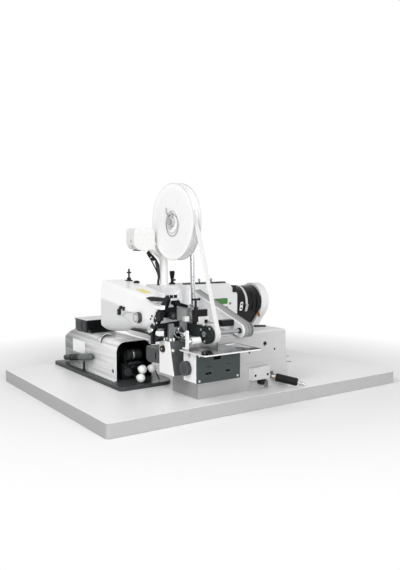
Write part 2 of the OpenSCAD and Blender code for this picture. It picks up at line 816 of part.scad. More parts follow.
// Upper band and top, parallel to the sloping top
module head_upper_form() {
    tilt = atan(head_fall / head_len);
    translate([0, head_y1 + 10 * cos(tilt), head_top + 10 * sin(tilt)]) rotate([tilt, 0, 0])
        along_y(-head_len * 1.1 - 20, head_len * 1.1 + 20)
            rounded_outline([[head_x, -260], [head_right, -260], [head_right, 0], [head_x + 16, 0], [head_x, -56]],
                [0, 0, 22, 12, 10]);
}

// Belly that rises towards the nose
module head_lower_form() {
    tilt = atan(head_tuck / head_len);
    translate([0, head_y1 + 10 * cos(tilt), head_bottom - 10 * sin(tilt)]) rotate([-tilt, 0, 0])
        along_y(-head_len * 1.1 - 20, head_len * 1.1 + 20)
            rounded_outline([[head_x, 0], [head_right, 0], [head_right, 260], [head_x, 260]], [44, 18, 0, 0], 8);
}

// Outer form of the head
module head_form() {
    intersection() {
        along_x(head_x, head_w) head_side();
        along_z(head_bottom - 20, head_h + 60) head_plan();
        head_upper_form();
        head_lower_form();
    }
}

module head_casting() {
    color([0.93, 0.93, 0.94])
        difference() {
            head_form();
            // opening on the nose for the needle lever's shaft
            along_x(head_x - EPS, 30 + EPS)
                rounded_outline([[head_y0 + 76, nose_top + 12], [head_y0 - EPS, nose_top + 12],
                    [head_y0 - EPS, nose_top - 8], [head_y0 + 28, nose_top - 7]], [0, 0, 0, 20]);
            // shallow pocket behind the thumbwheel
            along_x(head_x - EPS, 5 + EPS)
                translate(thumb_at)
                    polygon([[20, 14], [95, 8], [111, -7], [50, -22], [31, -30], [8, -20]]);
            x_bar([head_x - EPS, thumb_at[0], thumb_at[1]], 5 + run_fit, 20);
            // flat seats of the thread post and the eyelet
            for (p = [[post_seat, 14], [eyelet_seat, 12]])
                z_bar([p[0][0], p[0][1], head_surface(p[0][1] - p[1])], p[1], 20);
        }
}

module thumbwheel() {
    color([0.17, 0.17, 0.18]) {
        difference() {
            x_bar([head_x - thumb_w, thumb_at[0], thumb_at[1]], thumb_r, thumb_w - face_gap);
            for (a = [0 : 20 : 340])
                translate([0, thumb_at[0], thumb_at[1]]) rotate([a, 0, 0]) translate([head_x - thumb_w - 1, 0, thumb_r + 0.4])
                    rotate([0, 90, 0]) cylinder(r = 1.2, h = thumb_w + 2, $fn = 16);
            // ring groove in the face
            translate([head_x - thumb_w - EPS, thumb_at[0], thumb_at[1]]) rotate([0, 90, 0])
                rotate_extrude() translate([thumb_r - 6, 0]) square([2.5, 1 + EPS]);
        }
        x_bar([head_x - 1, thumb_at[0], thumb_at[1]], 5, 18);
    }
}

module head_clip() {
    clip_at = [thumb_at[0] + 122, thumb_at[1] + 0.5];
    color([0.07, 0.07, 0.08]) {
        difference() {
            along_x(head_x - 8, 8) tangent_link(clip_at, 5, clip_at + [0, 9], 5.5);
            along_x(head_x - 8 - EPS, 2 + EPS) tangent_link(clip_at, 2.4, clip_at + [0, 9], 2.6);
        }
        along_x(head_x - 6, 6) tangent_link(clip_at + [-1, 12], 3, clip_at + [-9, 21], 4);
        along_x(head_x - 3, 3)
            difference() {
                union() {
                    tangent_link(clip_at + [-9, 21], 2.5, clip_at + [-20, 20], 2);
                    translate(clip_at + [-25, 17]) circle(6.5);
                }
                translate(clip_at + [-25, 17]) circle(3.2);
            }
    }
}

module thread_guides() {
    post_z = head_surface(post_seat[1] - 14);
    eyelet_z = head_surface(eyelet_seat[1] - 12);
    color([0.1, 0.1, 0.11]) {
        // thread post on the head
        translate([post_seat[0], post_seat[1], post_z])
            rotate_extrude()
                polygon([[0, 0], [13, 0], [13, 3], [7, 5], [7, 11], [3, 13], [3, 26], [8, 27], [8, 30], [3, 32], [3, 40], [0, 42]]);
        // eyelet dome
        translate([eyelet_seat[0], eyelet_seat[1], eyelet_z])
            difference() {
                rotate_extrude() polygon([[0, 0], [11, 0], [11, 3], [7, 8], [0, 9]]);
                translate([0, 0, -EPS]) cylinder(r = 3, h = 12);
            }
        // two covers and three thread eyes on the arm's top
        along_z(arm_top, 4) soft_rect([arm_right - 206, arm_y + 10], [84, 20], 4);
        along_z(arm_top, 4) soft_rect([arm_right - 112, arm_y + 10], [72, 20], 4);
        for (x = [170, 144, 96])
            translate([arm_right - x, arm_y + 20, arm_top + 4]) {
                cylinder(r = 2, h = 5);
                rotate([90, 0, 0]) translate([0, 8, -1]) rotate_extrude() translate([3.2, 0]) circle(r = 1.2, $fn = 16);
            }
    }
}

// ---- arm ----
module arm_casting() {
    color([0.84, 0.84, 0.86])
        difference() {
            intersection() {
                along_y(arm_y, arm_d)
                    rounded_outline([[arm_x, arm_z], [arm_right, arm_z], [arm_right, arm_top - arm_chamfer],
                        [arm_right - arm_chamfer, arm_top], [arm_x, arm_top]], [0, 4, 16, 16, 0]);
                along_x(arm_x - EPS, arm_w + 2 * EPS)
                    rounded_outline([[arm_y, arm_z - EPS], [arm_y, arm_top], [arm_y + arm_d, arm_top],
                        [arm_y + arm_d, arm_z - EPS]], [0, 9, 14, 0]);
            }
            x_bar([arm_right - 40, shaft_y, shaft_z], shaft_r + run_fit, 40 + EPS);
            // screw holes beside the name plate's place
            y_bar([arm_right - 31, arm_y - EPS, arm_z + 38], 3, 8);
            y_bar([arm_right - 46, arm_y - EPS, arm_z + 24], 3, 8);
        }
}

// ---- motor and belt guard ----
module motor_body() {
    color([0.06, 0.07, 0.07])
        difference() {
            union() {
                along_x(arm_right, motor_len) tangent_link([shaft_y, shaft_z], motor_r, motor_tip, motor_tip_r);
                // hinge block at the arm's corner
                block([arm_right - 12, shaft_y - 30, shaft_z + motor_r - 5], [30, 22, 9]);
            }
            x_bar([arm_right - EPS, shaft_y, shaft_z], shaft_r + 1, motor_len + 2 * EPS);
        }
}

module motor_band() {
    reach = motor_r * 2;
    color([0.75, 0.77, 0.78])
        along_x(arm_right + 39.5, 9)
            translate([shaft_y, shaft_z])
                intersection() {
                    difference() {
                        circle(motor_r + 1.6, $fn = 96);
                        circle(motor_r, $fn = 96);
                    }
                    polygon([[0, 0], [reach * cos(82), reach * sin(82)], [-reach, reach], [-reach, 0],
                        [reach * cos(205), reach * sin(205)]]);
                }
}

module guard_outline(inset) {
    tangent_link([shaft_y, shaft_z], guard_r - inset, guard_tip, motor_tip_r - inset);
}

module belt_guard() {
    color([0.9, 0.9, 0.91])
        difference() {
            union() {
                along_x(guard_x, guard_w - 6) guard_outline(0);
                along_x(guard_x, guard_w) guard_outline(6);
                // rounded outer edge
                along_x(guard_x, guard_w - 3) guard_outline(2);
            }
            along_x(guard_x + guard_wall, guard_w - 2 * guard_wall - 5) guard_outline(10);
            x_bar([guard_x - EPS, shaft_y, shaft_z], shaft_r + 2, guard_wall + 2 * EPS);
        }
}

module arm_pulley() {
    pulley_x = guard_x + guard_wall + 4;
    pulley_w = guard_w - 2 * guard_wall - 13;
    color([0.7, 0.7, 0.72])
        translate([0, shaft_y, shaft_z]) rotate([0, 90, 0]) {
            translate([0, 0, arm_right - 38]) cylinder(r = shaft_r, h = pulley_x - arm_right + 38 + EPS);
            translate([0, 0, pulley_x])
                rotate_extrude()
                    polygon([[0, 0], [pulley_r, 0], [pulley_r, 2], [pulley_r - 7, pulley_w / 2], [pulley_r, pulley_w - 2],
                        [pulley_r, pulley_w], [0, pulley_w]]);
        }
}

// ---- tape feed ----
module link_cover() {
    color([0.92, 0.92, 0.93])
        difference() {
            union() {
                intersection() {
                    union() {
                        along_x(link_x + 2, link_t - 2)
                            tangent_link([wheel_y, wheel_z], link_r, link_rear, link_rear_r);
                        along_x(link_x, link_t)
                            tangent_link([wheel_y, wheel_z], link_r - 2, link_rear, link_rear_r - 2);
                    }
                    block([link_x, wheel_y - link_r - EPS, 0], [link_t, arm_y - wheel_y + link_r + EPS, arm_top]);
                }
                // root flange on the arm's front face
                along_y(arm_y - root_t, root_t)
                    rounded_outline([[link_x - 68, arm_z + 45], [link_x + link_t, arm_z + 45],
                        [link_x + link_t, arm_top - 12], [link_x - 40, arm_top - 12], [link_x - 68, arm_z + 70]],
                        [3, 0, 5, 5, 3], 3);
            }
            // sunk panel on the left face
            along_x(link_x - EPS, 1.5 + EPS)
                intersection() {
                    tangent_link([wheel_y, wheel_z], link_r - 7, link_rear, link_rear_r - 7);
                    polygon([[wheel_y - link_r, 0], [arm_y - root_t - 10, 0], [arm_y - root_t - 10, arm_top],
                        [wheel_y - link_r, arm_top]]);
                }
            x_bar([link_x - EPS, wheel_y, wheel_z], feed_r + run_fit, link_t - 6 + EPS);
            for (x = [-60, -12])
                y_bar([link_x + x, arm_y - root_t - EPS, arm_z + 58], 3.5, 3 + EPS);
        }
}

module feed_shaft() {
    color([0.7, 0.71, 0.72])
        difference() {
            union() {
                x_bar([disc_x - 1, wheel_y, wheel_z], feed_r, link_x + link_t - 8 - disc_x + 1);
                x_bar([disc_x - 6, wheel_y, wheel_z], 8, 6 - face_gap);
                // collar that locks the wheel on the shaft
                x_bar([wheel_x + wheel_w, wheel_y, wheel_z], 11, 10);
            }
            x_bar([disc_x - 6 - EPS, wheel_y, wheel_z], 3.4, 3 + EPS, $fn = 6);
        }
}

module feed_wheel() {
    color([0.9, 0.9, 0.9])
        difference() {
            translate([wheel_x, wheel_y, wheel_z]) rotate([0, 90, 0])
                rotate_extrude()
                    polygon([[feed_r, 0], [12, 0], [12, 4], [wheel_r - 4, 4], [wheel_r - 4, 0], [wheel_r + 1.5, 0],
                        [wheel_r + 1.5, 1], [wheel_r, 1.4], [wheel_r, wheel_w], [wheel_r - 4, wheel_w],
                        [wheel_r - 4, wheel_w - 4], [12, wheel_w - 4], [12, wheel_w], [feed_r, wheel_w]]);
            for (a = [0 : 60 : 300])
                translate([0, wheel_y, wheel_z]) rotate([a, 0, 0])
                    x_bar([wheel_x - EPS, 0, (wheel_r + 8) / 2], 4, wheel_w + 2 * EPS);
        }
}

module feed_carrier() {
    color([0.27, 0.3, 0.3])
        difference() {
            union() {
                along_x(disc_x, disc_t)
                    intersection() {
                        union() {
                            translate([wheel_y, wheel_z]) circle(disc_r);
                            polygon([[wheel_y, wheel_z - disc_r + 15], [bracket_y, wheel_z - disc_r + 15],
                                [bracket_y, carrier_top + 10], [wheel_y, carrier_top + 10]]);
                        }
                        rounded_outline([[wheel_y - disc_r, wheel_z - disc_r - EPS], [bracket_y, wheel_z - disc_r - EPS],
                            [bracket_y, carrier_top], [wheel_y - disc_r, carrier_top]], [0, 0, 0, 26]);
                    }
                // raised ring on the disc
                x_bar([disc_x - 1.5, wheel_y, wheel_z], disc_r - 12, 2.5);
            }
            x_bar([disc_x - 1.5 - EPS, wheel_y, wheel_z], feed_r + run_fit, disc_t + 1.5 + 2 * EPS);
            x_bar([disc_x - 1.5 - EPS, wheel_y, wheel_z], 8 + face_gap, 1.5 + EPS);
        }
    color([0.85, 0.86, 0.86]) {
        screw_x([disc_x, wheel_y + 4, wheel_z - disc_r + 7], 2.6, 1.6);
        screw_x([disc_x, wheel_y + disc_r - 6, wheel_z + 10], 2.6, 1.6);
        screw_x([disc_x, wheel_y - 20, wheel_z + 17], 2.6, 1.6);
    }
}

module guide_post() {
    color([0.06, 0.06, 0.07]) {
        difference() {
            union() {
                block([disc_x, guide_y + 1, carrier_top], [14, guide_d - 2, 20]);
                block([disc_x, guide_y, carrier_top + 20], [46, guide_d, 20]);
            }
            z_bar([disc_x + 9, guide_y + guide_d / 2, carrier_top + 8], 3 + run_fit, 32 + EPS);
            // groove along the front of the head block
            block([disc_x + 16, guide_y - EPS, carrier_top + 27], [24, 1.5 + EPS, 5]);
        }
        // stop screw under the white plate's end
        z_bar([disc_x + 45, guide_y + guide_d / 2, carrier_top], 5, 10);
        // rest for the tape beside the link cover
        block([link_x - 42, wheel_y + 28, wheel_z + 11], [42, 20, 18]);
    }
    color([0.88, 0.88, 0.88])
        x_bar([link_x - 54, wheel_y + 38, wheel_z + 16], 5, 12 + EPS);
}

module guide_block() {
    color([0.93, 0.93, 0.92]) {
        difference() {
            union() {
                block([disc_x + 14, guide_y - 2, carrier_top - 9], [20, guide_d + 2, 29]);
                block([disc_x + 33, guide_y + 1, carrier_top + 10], [18, guide_d - 2, 10]);
            }
            // tape slot through the block
            block([disc_x + 13, guide_y + 3, carrier_top - 9 - EPS], [19, 2.4, 12 + EPS]);
        }
        block([disc_x - 16, guide_y + 26, carrier_top + 5], [16, 12, 15]);
    }
}

module thumbscrew() {
    at = [disc_x + 9, guide_y + guide_d / 2];
    color([0.07, 0.07, 0.08]) {
        z_bar([at[0], at[1], carrier_top + 10], 3, 62);
        x_bar([at[0] - 12, at[1], carrier_top + 70], 3, 24);
        translate([at[0] + 12, at[1], carrier_top + 70]) sphere(r = 4.2);
        z_bar([at[0], at[1], carrier_top + 40 + face_gap], 6, 8);
    }
}

module guide_roller() {
    color([0.95, 0.95, 0.95])
        difference() {
            x_bar([roller_x, roller_y, roller_z], roller_r, roller_w);
            x_bar([roller_x - EPS, roller_y, roller_z], 3 + run_fit, roller_w + 2 * EPS);
            x_bar([roller_x - EPS, roller_y, roller_z], roller_r - 2.5, 8 + EPS);
        }
}

module roller_bracket() {
    color([0.88, 0.88, 0.88]) {
        along_x(roller_x - 14, 4)
            rounded_outline([[roller_y - 6, plate_top], [roller_y + 6, plate_top], [roller_y + 6, plate_top + 50],
                [roller_y - 6, plate_top + 50]], [0, 0, 5, 5], 4);
        block([roller_x - 24, roller_y - 6, plate_top], [14, 12, 3]);
        x_bar([roller_x - 11, roller_y, roller_z], 3, roller_w + 15);
        x_bar([roller_x - 10 - EPS, roller_y, roller_z], 5, 10 + EPS - face_gap);
        x_bar([roller_x + roller_w + face_gap, roller_y, roller_z], 5, 3);
    }
}

// ---- tape and reel ----
module tape() {
    u = [cos(tape_dir), sin(tape_dir)];
    a = [reel_y, reel_z];
    b = [wheel_y, wheel_z];
    lap = 0.5 * [u[1], -u[0]];
    reach = wheel_r * 3;
    color([0.97, 0.97, 0.97])
        along_x(tape_x, tape_w) {
            polygon([a + u * tape_over, a + u * (tape_over + tape_t), b + u * (tape_under + tape_t) - lap,
                b + u * tape_under - lap]);
            translate(b)
                intersection() {
                    difference() {
                        circle(tape_under + tape_t);
                        circle(tape_under);
                    }
                    polygon([[0, 0], reach * u, [-reach, -reach], [0, -reach]]);
                }
            translate([wheel_y - 0.5, wheel_z - tape_under - tape_t]) square([guide_y - wheel_y, tape_t]);
        }
}

module reel_flange(x) {
    difference() {
        x_bar([x, reel_y, reel_z], reel_r, flange_t);
        x_bar([x - EPS, reel_y, reel_z], axle_r + run_fit, flange_t + 2 * EPS);
        // view holes between hub and rim
        for (a = [0 : 60 : 300])
            translate([0, reel_y, reel_z]) rotate([a, 0, 0]) x_bar([x - EPS, 66, 0], 4, flange_t + 2 * EPS);
    }
}

module reel_flange_left() {
    color([0.93, 0.93, 0.93]) {
        reel_flange(reel_x);
        // hub ring and boss
        translate([reel_x, reel_y, reel_z]) rotate([0, 90, 0])
            rotate_extrude()
                polygon([[axle_r + run_fit, -6], [14, -6], [14, 0], [axle_r + run_fit, 0]]);
        translate([reel_x - 1.5, reel_y, reel_z]) rotate([0, 90, 0])
            rotate_extrude() translate([32, 0]) square([3, 1.5]);
    }
}

module reel_flange_right() {
    color([0.93, 0.93, 0.93]) reel_flange(reel_x + reel_w - flange_t);
}

module tape_roll() {
    color([0.96, 0.96, 0.95])
        difference() {
            x_bar([reel_x + flange_t, reel_y, reel_z], roll_r, reel_w - 2 * flange_t);
            x_bar([reel_x + flange_t - EPS, reel_y, reel_z], axle_r + run_fit, reel_w - 2 * flange_t + 2 * EPS);
        }
}

module reel_post() {
    foot_z = arm_z + 28;
    lean = atan(8 / (reel_z - foot_z));
    post_h = (reel_z - foot_z) / cos(lean);
    color([0.72, 0.73, 0.74]) {
        // leaning rod with its thin guard rod
        translate([post_x + 8, post_y, foot_z]) rotate([0, -lean, 0]) {
            cylinder(r = post_r, h = post_h + 10);
            translate([post_r + 4, 4, 0]) cylinder(r = 2.5, h = post_h * 0.72);
            // nut on the clamp
            translate([0, 0, 16]) cylinder(r = post_r + 5, h = 9, $fn = 6);
            translate([0, 0, post_h * 0.72 - 8]) cylinder(r = post_r + 3, h = 10);
            translate([post_r + 4, 4, post_h * 0.72 - 8]) cylinder(r = 5, h = 10);
        }
        // clamp block on the arm
        block([post_x - 6, post_y - 12, foot_z], [28, arm_y - post_y + 12, 16]);
        // axle with its end caps
        x_bar([reel_x - 14, reel_y, reel_z], axle_r, post_x - reel_x + 14);
        x_bar([reel_x - 14, reel_y, reel_z], 9, 8 - face_gap);
        x_bar([reel_x + reel_w + face_gap, reel_y, reel_z], 9, 5);
    }
}

// ---- needle mechanism ----
// Place at distance d behind the nose
function nose_y(d) = head_y0 + d;

// Sloped arm beside the head's nose, in (Y, Z), with its foot beside the column
module side_arm_outline() {
    ct = column_top;
    hy = head_y0;
    rounded_outline([[hy + 9, ct - 11], [hy + 29, ct - 11], [hy + 31, ct + 28], [hy + 5, ct + 58], [hy - 15, ct + 84],
        [hy - 49, ct + 118], [hy - 63, ct + 134], [hy - 75, ct + 126], [hy - 65, ct + 106], [hy - 33, ct + 72],
        [hy - 15, ct + 48], [hy + 9, ct + 24]], [2, 2, 12, 10, 10, 10, 5, 5, 10, 10, 10, 10], 3);
}

module mechanism_frame() {
    ct = column_top;
    bx = bracket_x;
    color([0.14, 0.17, 0.2])
        difference() {
            union() {
                // upright plate on the column
                along_y(frame_y, frame_t)
                    rounded_outline([[column_x + 2, ct], [bx + 58, ct], [bx + 58, ct + 58], [bx + 32, ct + 66],
                        [bx + 32, ct + 101], [bx - 4, ct + 105], [side_arm_x + 1, ct + 64], [side_arm_x + 1, ct + 52],
                        [bx - 8, ct + 42]], [0, 0, 4, 4, 6, 8, 8, 4, 6], 3);
                along_x(side_arm_x, side_arm_t) side_arm_outline();
                // foot that joins the sloped arm to the plate
                block([side_arm_x + 4, frame_y, ct + 36], [bx - side_arm_x - 2, frame_t, 20]);
                block([side_arm_x + 4, head_y0 - 14, ct + 1], [column_x - side_arm_x + 6, 34, 8]);
                block([column_x - 2, frame_y + EPS, ct], [14, head_y0 - frame_y + 19, 9]);
                // dark blade over the nose
                along_x(side_arm_x + 2, 10)
                    rounded_outline([[nose_y(51), ct + 120], [nose_y(22), ct + 126], [nose_y(-49), ct + 127],
                        [nose_y(-49), ct + 117], [nose_y(17), ct + 113]], [0, 4, 2, 2, 4], 3);
                // wedge under the head
                along_x(side_arm_x + 8, 18)
                    polygon([[nose_y(7), ct - 4], [nose_y(53), ct - 1], [nose_y(143), ct], [nose_y(183), ct + 4],
                        [nose_y(143), ct + 20], [nose_y(53), ct + 15], [nose_y(7), ct + 8]]);
            }
            translate([-2, -3, -3]) head_form();
            // clear of the column's side and top
            block([column_x - 0.3, frame_y + frame_t + 2 * EPS, ct - 40], [60, 400, 40]);
            y_bar([adjust_at[0], frame_y - EPS, adjust_at[1]], 4 + run_fit, frame_t + 2 * EPS);
            y_bar([needle_at[0], frame_y - EPS, needle_at[1]], 4 + run_fit, 5 + EPS);
        }
    color([0.8, 0.81, 0.82]) {
        // light top bar over the upright plate, on its own stem
        block([clamp_at[0] - 44, frame_y - 14, ct + 116], [51, 18, 6]);
        block([clamp_at[0] - 30, frame_y - 4, ct + 96], [24, 8, 20 + EPS]);
        // bolt of the sloped arm
        screw_x([side_arm_x, head_y0 - 6, ct + 51], 4.5, 3);
        difference() {
            screw_x([side_arm_x, head_y0 + 20, ct + 30], 9, 4);
            x_bar([side_arm_x - 4 - EPS, head_y0 + 20, ct + 30], 4.5, 2 + EPS);
        }
        // cap screws on the column
        for (k = [0 : 1])
            z_bar([column_x + 9 + k * 10.5, bracket_y - 9.5, ct], 4.5, 9);
    }
    color([0.05, 0.05, 0.06]) {
        // three cap screws on the top bar
        for (k = [0 : 2])
            z_bar([clamp_at[0] - 27 + k * 13.5, frame_y - 5, ct + 121], 5, 10);
        // end knob and slanted arm down to the ring
        y_bar([clamp_at[0], frame_y - 18, clamp_at[1]], 8, 16);
        along_y(frame_y - 8, 6) tangent_link(clamp_at + [-10, 0], 6, ring_at + [0, 66], 4.5);
        // stack in front of the sloped arm
        block([side_arm_x - 11, head_y0 - 52, ct + 64], [12, 22, 24]);
    }
    color([0.93, 0.93, 0.92])
        block([side_arm_x - 12, head_y0 - 60, ct + 96], [13, 44, 10]);
}

module frame_bracket() {
    bx = bracket_x;
    bt = bracket_top;
    color([0.52, 0.55, 0.56])
        difference() {
            along_y(bracket_y, bracket_t)
                rounded_outline([[bx, column_top], [bx + 16, column_top], [bx + 16, bt - bar_h], [bx + bracket_w, bt - bar_h],
                    [bx + bracket_w, bt], [bx + 38, bt], [bx + 38, bt - 16], [bx + 17, bt - 16], [bx + 17, bt - 5],
                    [bx, bt - 5]], [0, 0, 8, 2, 2, 2, 3, 3, 1, 2], 3);
            y_bar([needle_at[0], bracket_y - EPS, needle_at[1]], 4 + run_fit, bracket_t + 2 * EPS);
        }
    // light stop on the bar's right end
    color([0.93, 0.93, 0.92]) block([bx + 47, bracket_y, bt - EPS], [13, 5.5, 12 + EPS]);
}

module guard_sheet() {
    bx = bracket_x;
    bt = bracket_top;
    color([0.7, 0.72, 0.72]) {
        along_y(frame_y - 2, 2)
            rounded_outline([[bx + 31, bt + 1], [bx + 90, bt], [bx + 62, bt + 33], [bx + 31, bt + 37]], [2, 3, 6, 4], 3);
        // wedge beside the bracket's upper left corner
        along_y(frame_y - 2, 2)
            polygon([[bx - 27, bt - 3], [bx - 15, bt + 13], [bx - 6, bt + 13], [bx + 32, bt + 3], [bx + 32, bt + 0.5]]);
    }
}

module needle_lever() {
    y0 = bracket_y - face_gap - lever_t;
    clamp = needle_at + needle_r * [cos(-58), sin(-58)];
    color([0.82, 0.83, 0.84])
        difference() {
            union() {
                along_y(y0, lever_t) tangent_link(needle_at, 9, clamp, 6.5);
                along_y(y0, lever_t) tangent_link(needle_at, 7, needle_at + [-14, -7], 5);
                y_bar([needle_at[0], y0 - 3, needle_at[1]], 6, 3 + EPS);
                y_bar([needle_at[0], y0 + 1, needle_at[1]], 4, lever_t + face_gap + bracket_t + 4);
                y_bar([clamp[0], y0 - 16, clamp[1]], 6, 16 + EPS);
            }
            y_bar([clamp[0], y0 - 16 - EPS, clamp[1]], 2, 4 + EPS, $fn = 6);
        }
}

module curved_needle() {
    color([0.88, 0.89, 0.9])
        translate([needle_at[0], bracket_y - face_gap - lever_t - 10, needle_at[1]]) rotate([90, 0, 0]) {
            rotate([0, 0, -150])
                rotate_extrude(angle = 92) translate([needle_r, 0]) circle(r = 1.5, $fn = 24);
            rotate([0, 0, -150]) translate([needle_r, 0, 0]) rotate([90, 0, 0]) cylinder(r1 = 1.5, r2 = 0.3, h = 9, $fn = 24);
        }
}

module adjusting_knob() {
    face_y = bracket_y - 24;
    color([0.3, 0.31, 0.32])
        y_bar([adjust_at[0], face_y + 2, adjust_at[1]], adjust_r - 2.5, 14);
    color([0.05, 0.05, 0.06]) {
        difference() {
            y_bar([adjust_at[0], face_y, adjust_at[1]], adjust_r, 14);
            y_bar([adjust_at[0], face_y - EPS, adjust_at[1]], adjust_r - 2.5, 2 + EPS);
            for (a = [0 : 30 : 330])
                translate([adjust_at[0], face_y - EPS, adjust_at[1]]) rotate([0, a, 0])
                    y_bar([adjust_r + 0.5, 0, 0], 1.2, 10, $fn = 16);
        }
        y_bar([adjust_at[0], face_y + 13, adjust_at[1]], 4, frame_y + frame_t - face_y - 13);
    }
}

// ---- lamp ----
module lamp_post() {
    color([0.93, 0.93, 0.93]) {
        translate([lamp_x, lamp_y, arm_top]) {
            cylinder(r = lamp_post_r + 4, h = 3);
            cylinder(r = lamp_post_r, h = lamp_post_h);
            translate([-neck_bend_r, 0, lamp_post_h]) rotate([90, 0, 0])
                rotate_extrude(angle = neck_angle) translate([neck_bend_r, 0]) circle(lamp_post_r);
            translate([-neck_bend_r, 0, lamp_post_h]) rotate([0, -neck_angle, 0]) translate([neck_bend_r, 0, 0]) {
                difference() {
                    cylinder(r = lamp_post_r, h = neck_run - 12);
                    translate([-4, -lamp_post_r - EPS, 4]) rotate([-90, 0, 0]) cylinder(r = 3, h = 4);
                }
            }
        }
        // tongue that carries the lamp head
        along_y(lamp_y - tongue_t / 2, tongue_t)
            tangent_link(lamp_pivot, 11, lamp_pivot + [22, -17], 10);
    }
}

// Lamp head outline in (X, Z)
module lamp_head_outline() {
    rounded_outline([[lamp_pivot[0] + 14, lamp_pivot[1] - 17], [lamp_pivot[0] + 14, lamp_pivot[1] - 17 + lamp_h],
        [lamp_pivot[0] + 14 - lamp_w, lamp_pivot[1] - 17 + lamp_h], [lamp_pivot[0] + 14 - lamp_w, lamp_pivot[1] - 17]],
        [5, 14, 14, 26], 6);
}
module lamp_head() {
    color([0.94, 0.94, 0.94])
        difference() {
            along_y(lamp_y - lamp_d / 2, lamp_d) lamp_head_outline();
            // slot for the tongue
            block([lamp_pivot[0] - 12, lamp_y - tongue_t / 2 - face_gap, lamp_pivot[1] - 18],
                [40, tongue_t + 2 * face_gap, 36]);
            // opening for the light
            along_z(lamp_pivot[1] - 18, 8)
                soft_rect([lamp_pivot[0] - 38, lamp_y - lamp_d / 2 + 6], [22, lamp_d - 12], 4);
        }
}

// Closed tube along a route in the plane y, with n sides
function tube_ring(route, k, y, r, n) =
    let (last = len(route) - 1, d = unit(route[min(k + 1, last)] - route[max(k - 1, 0)]), side = [d[1], -d[0]])
    [for (i = [0 : n - 1]) [route[k][0] + side[0] * r * cos(360 * i / n), y + r * sin(360 * i / n),
        route[k][1] + side[1] * r * cos(360 * i / n)]];

module tube(route, y, r, n) {
    rings = len(route);
    points = [for (k = [0 : rings - 1]) each tube_ring(route, k, y, r, n)];
    walls = [for (k = [0 : rings - 2], i = [0 : n - 1])
        [k * n + i, k * n + (i + 1) % n, (k + 1) * n + (i + 1) % n, (k + 1) * n + i]];
    polyhedron(points, concat(walls, [[for (i = [n - 1 : -1 : 0]) i]], [[for (i = [0 : n - 1]) (rings - 1) * n + i]]));
}

module lamp_cable() {
    color([0.05, 0.05, 0.05])
        tube([for (p = cable_route) [lamp_x + p[0], arm_top + p[1]]], lamp_y, cable_r, 12);
}

module ball_lever() {
    at = [arm_x + 74, arm_y + 60, arm_top];
    color([0.06, 0.06, 0.07]) {
        translate(at + [0, 0, face_gap])
            rotate_extrude()
                rounded_outline([[0, 0], [10.5, 0], [10.5, 3], [5, 6], [5, 16], [6.5, 20], [9, 40], [7, 43], [0, 43]],
                    [0, 0, 1, 2, 3, 3, 3, 1, 0], 3);
        x_bar(at + [3, 0, 13], 3, 9);
    }
}

// ---- parts ----
table_plate();
left_base_plate();
motor_cover();
control_box();
control_box_lid();
cable_connector();
drive_motor();
drive_pulley();
clamp_knob_1();
clamp_knob_2();
clamp_knob_3();
bed_casting();
bed_end_cover();
bed_knob();
bed_cap();
lever_shaft();
lever_grip();
column_housing();
column_side_plate();
column_knob();
side_housing();
metering_box();
metering_cover();
metering_knob();
cover_screws();
work_plate();
plate_insert();
head_casting();
thumbwheel();
head_clip();
thread_guides();
arm_casting();
motor_body();
motor_band();
belt_guard();
arm_pulley();
link_cover();
feed_shaft();
feed_wheel();
feed_carrier();
guide_post();
guide_block();
thumbscrew();
guide_roller();
roller_bracket();
tape();
reel_flange_left();
reel_flange_right();
tape_roll();
reel_post();
mechanism_frame();
frame_bracket();
guard_sheet();
needle_lever();
curved_needle();
adjusting_knob();
lamp_post();
lamp_head();
lamp_cable();
ball_lever();
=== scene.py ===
# %% [markdown]
# # A blind stitch machine with a tape feed
# The solids of this machine come from a CAD model, so every shape and every joint is already in
# its place. This lesson dresses them: it sets the camera and the light, writes one finish for
# each kind of surface, and adds the small pieces that a CAD model leaves out.

# %% The frame
import math

import bmesh
import bpy
from mathutils import Matrix, Vector


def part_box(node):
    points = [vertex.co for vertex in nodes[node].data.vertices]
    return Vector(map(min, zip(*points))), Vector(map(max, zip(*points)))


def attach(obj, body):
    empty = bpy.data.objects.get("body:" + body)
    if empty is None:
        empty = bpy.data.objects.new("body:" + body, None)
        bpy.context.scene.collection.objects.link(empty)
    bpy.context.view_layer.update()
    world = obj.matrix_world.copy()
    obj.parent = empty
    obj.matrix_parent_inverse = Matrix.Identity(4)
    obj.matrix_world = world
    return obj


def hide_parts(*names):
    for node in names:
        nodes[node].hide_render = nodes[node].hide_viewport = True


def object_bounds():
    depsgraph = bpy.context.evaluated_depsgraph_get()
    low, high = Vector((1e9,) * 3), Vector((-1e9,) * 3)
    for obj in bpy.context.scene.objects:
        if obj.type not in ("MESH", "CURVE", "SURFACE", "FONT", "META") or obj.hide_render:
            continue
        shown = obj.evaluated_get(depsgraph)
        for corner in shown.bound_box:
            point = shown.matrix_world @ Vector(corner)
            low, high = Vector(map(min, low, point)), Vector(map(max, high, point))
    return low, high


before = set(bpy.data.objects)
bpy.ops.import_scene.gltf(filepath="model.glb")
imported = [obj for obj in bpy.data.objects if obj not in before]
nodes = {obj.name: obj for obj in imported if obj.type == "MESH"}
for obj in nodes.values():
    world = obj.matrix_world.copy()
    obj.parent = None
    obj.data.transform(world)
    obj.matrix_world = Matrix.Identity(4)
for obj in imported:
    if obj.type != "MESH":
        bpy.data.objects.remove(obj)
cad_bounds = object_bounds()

# %% [markdown]
# ## Measuring from the solids
# Places are never typed in as loose numbers where a solid can give them.

# %% Points on a node
def corner(node, fx, fy, fz):
    low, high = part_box(node)
    return Vector((low[k] + (high[k] - low[k]) * f for k, f in enumerate((fx, fy, fz))))


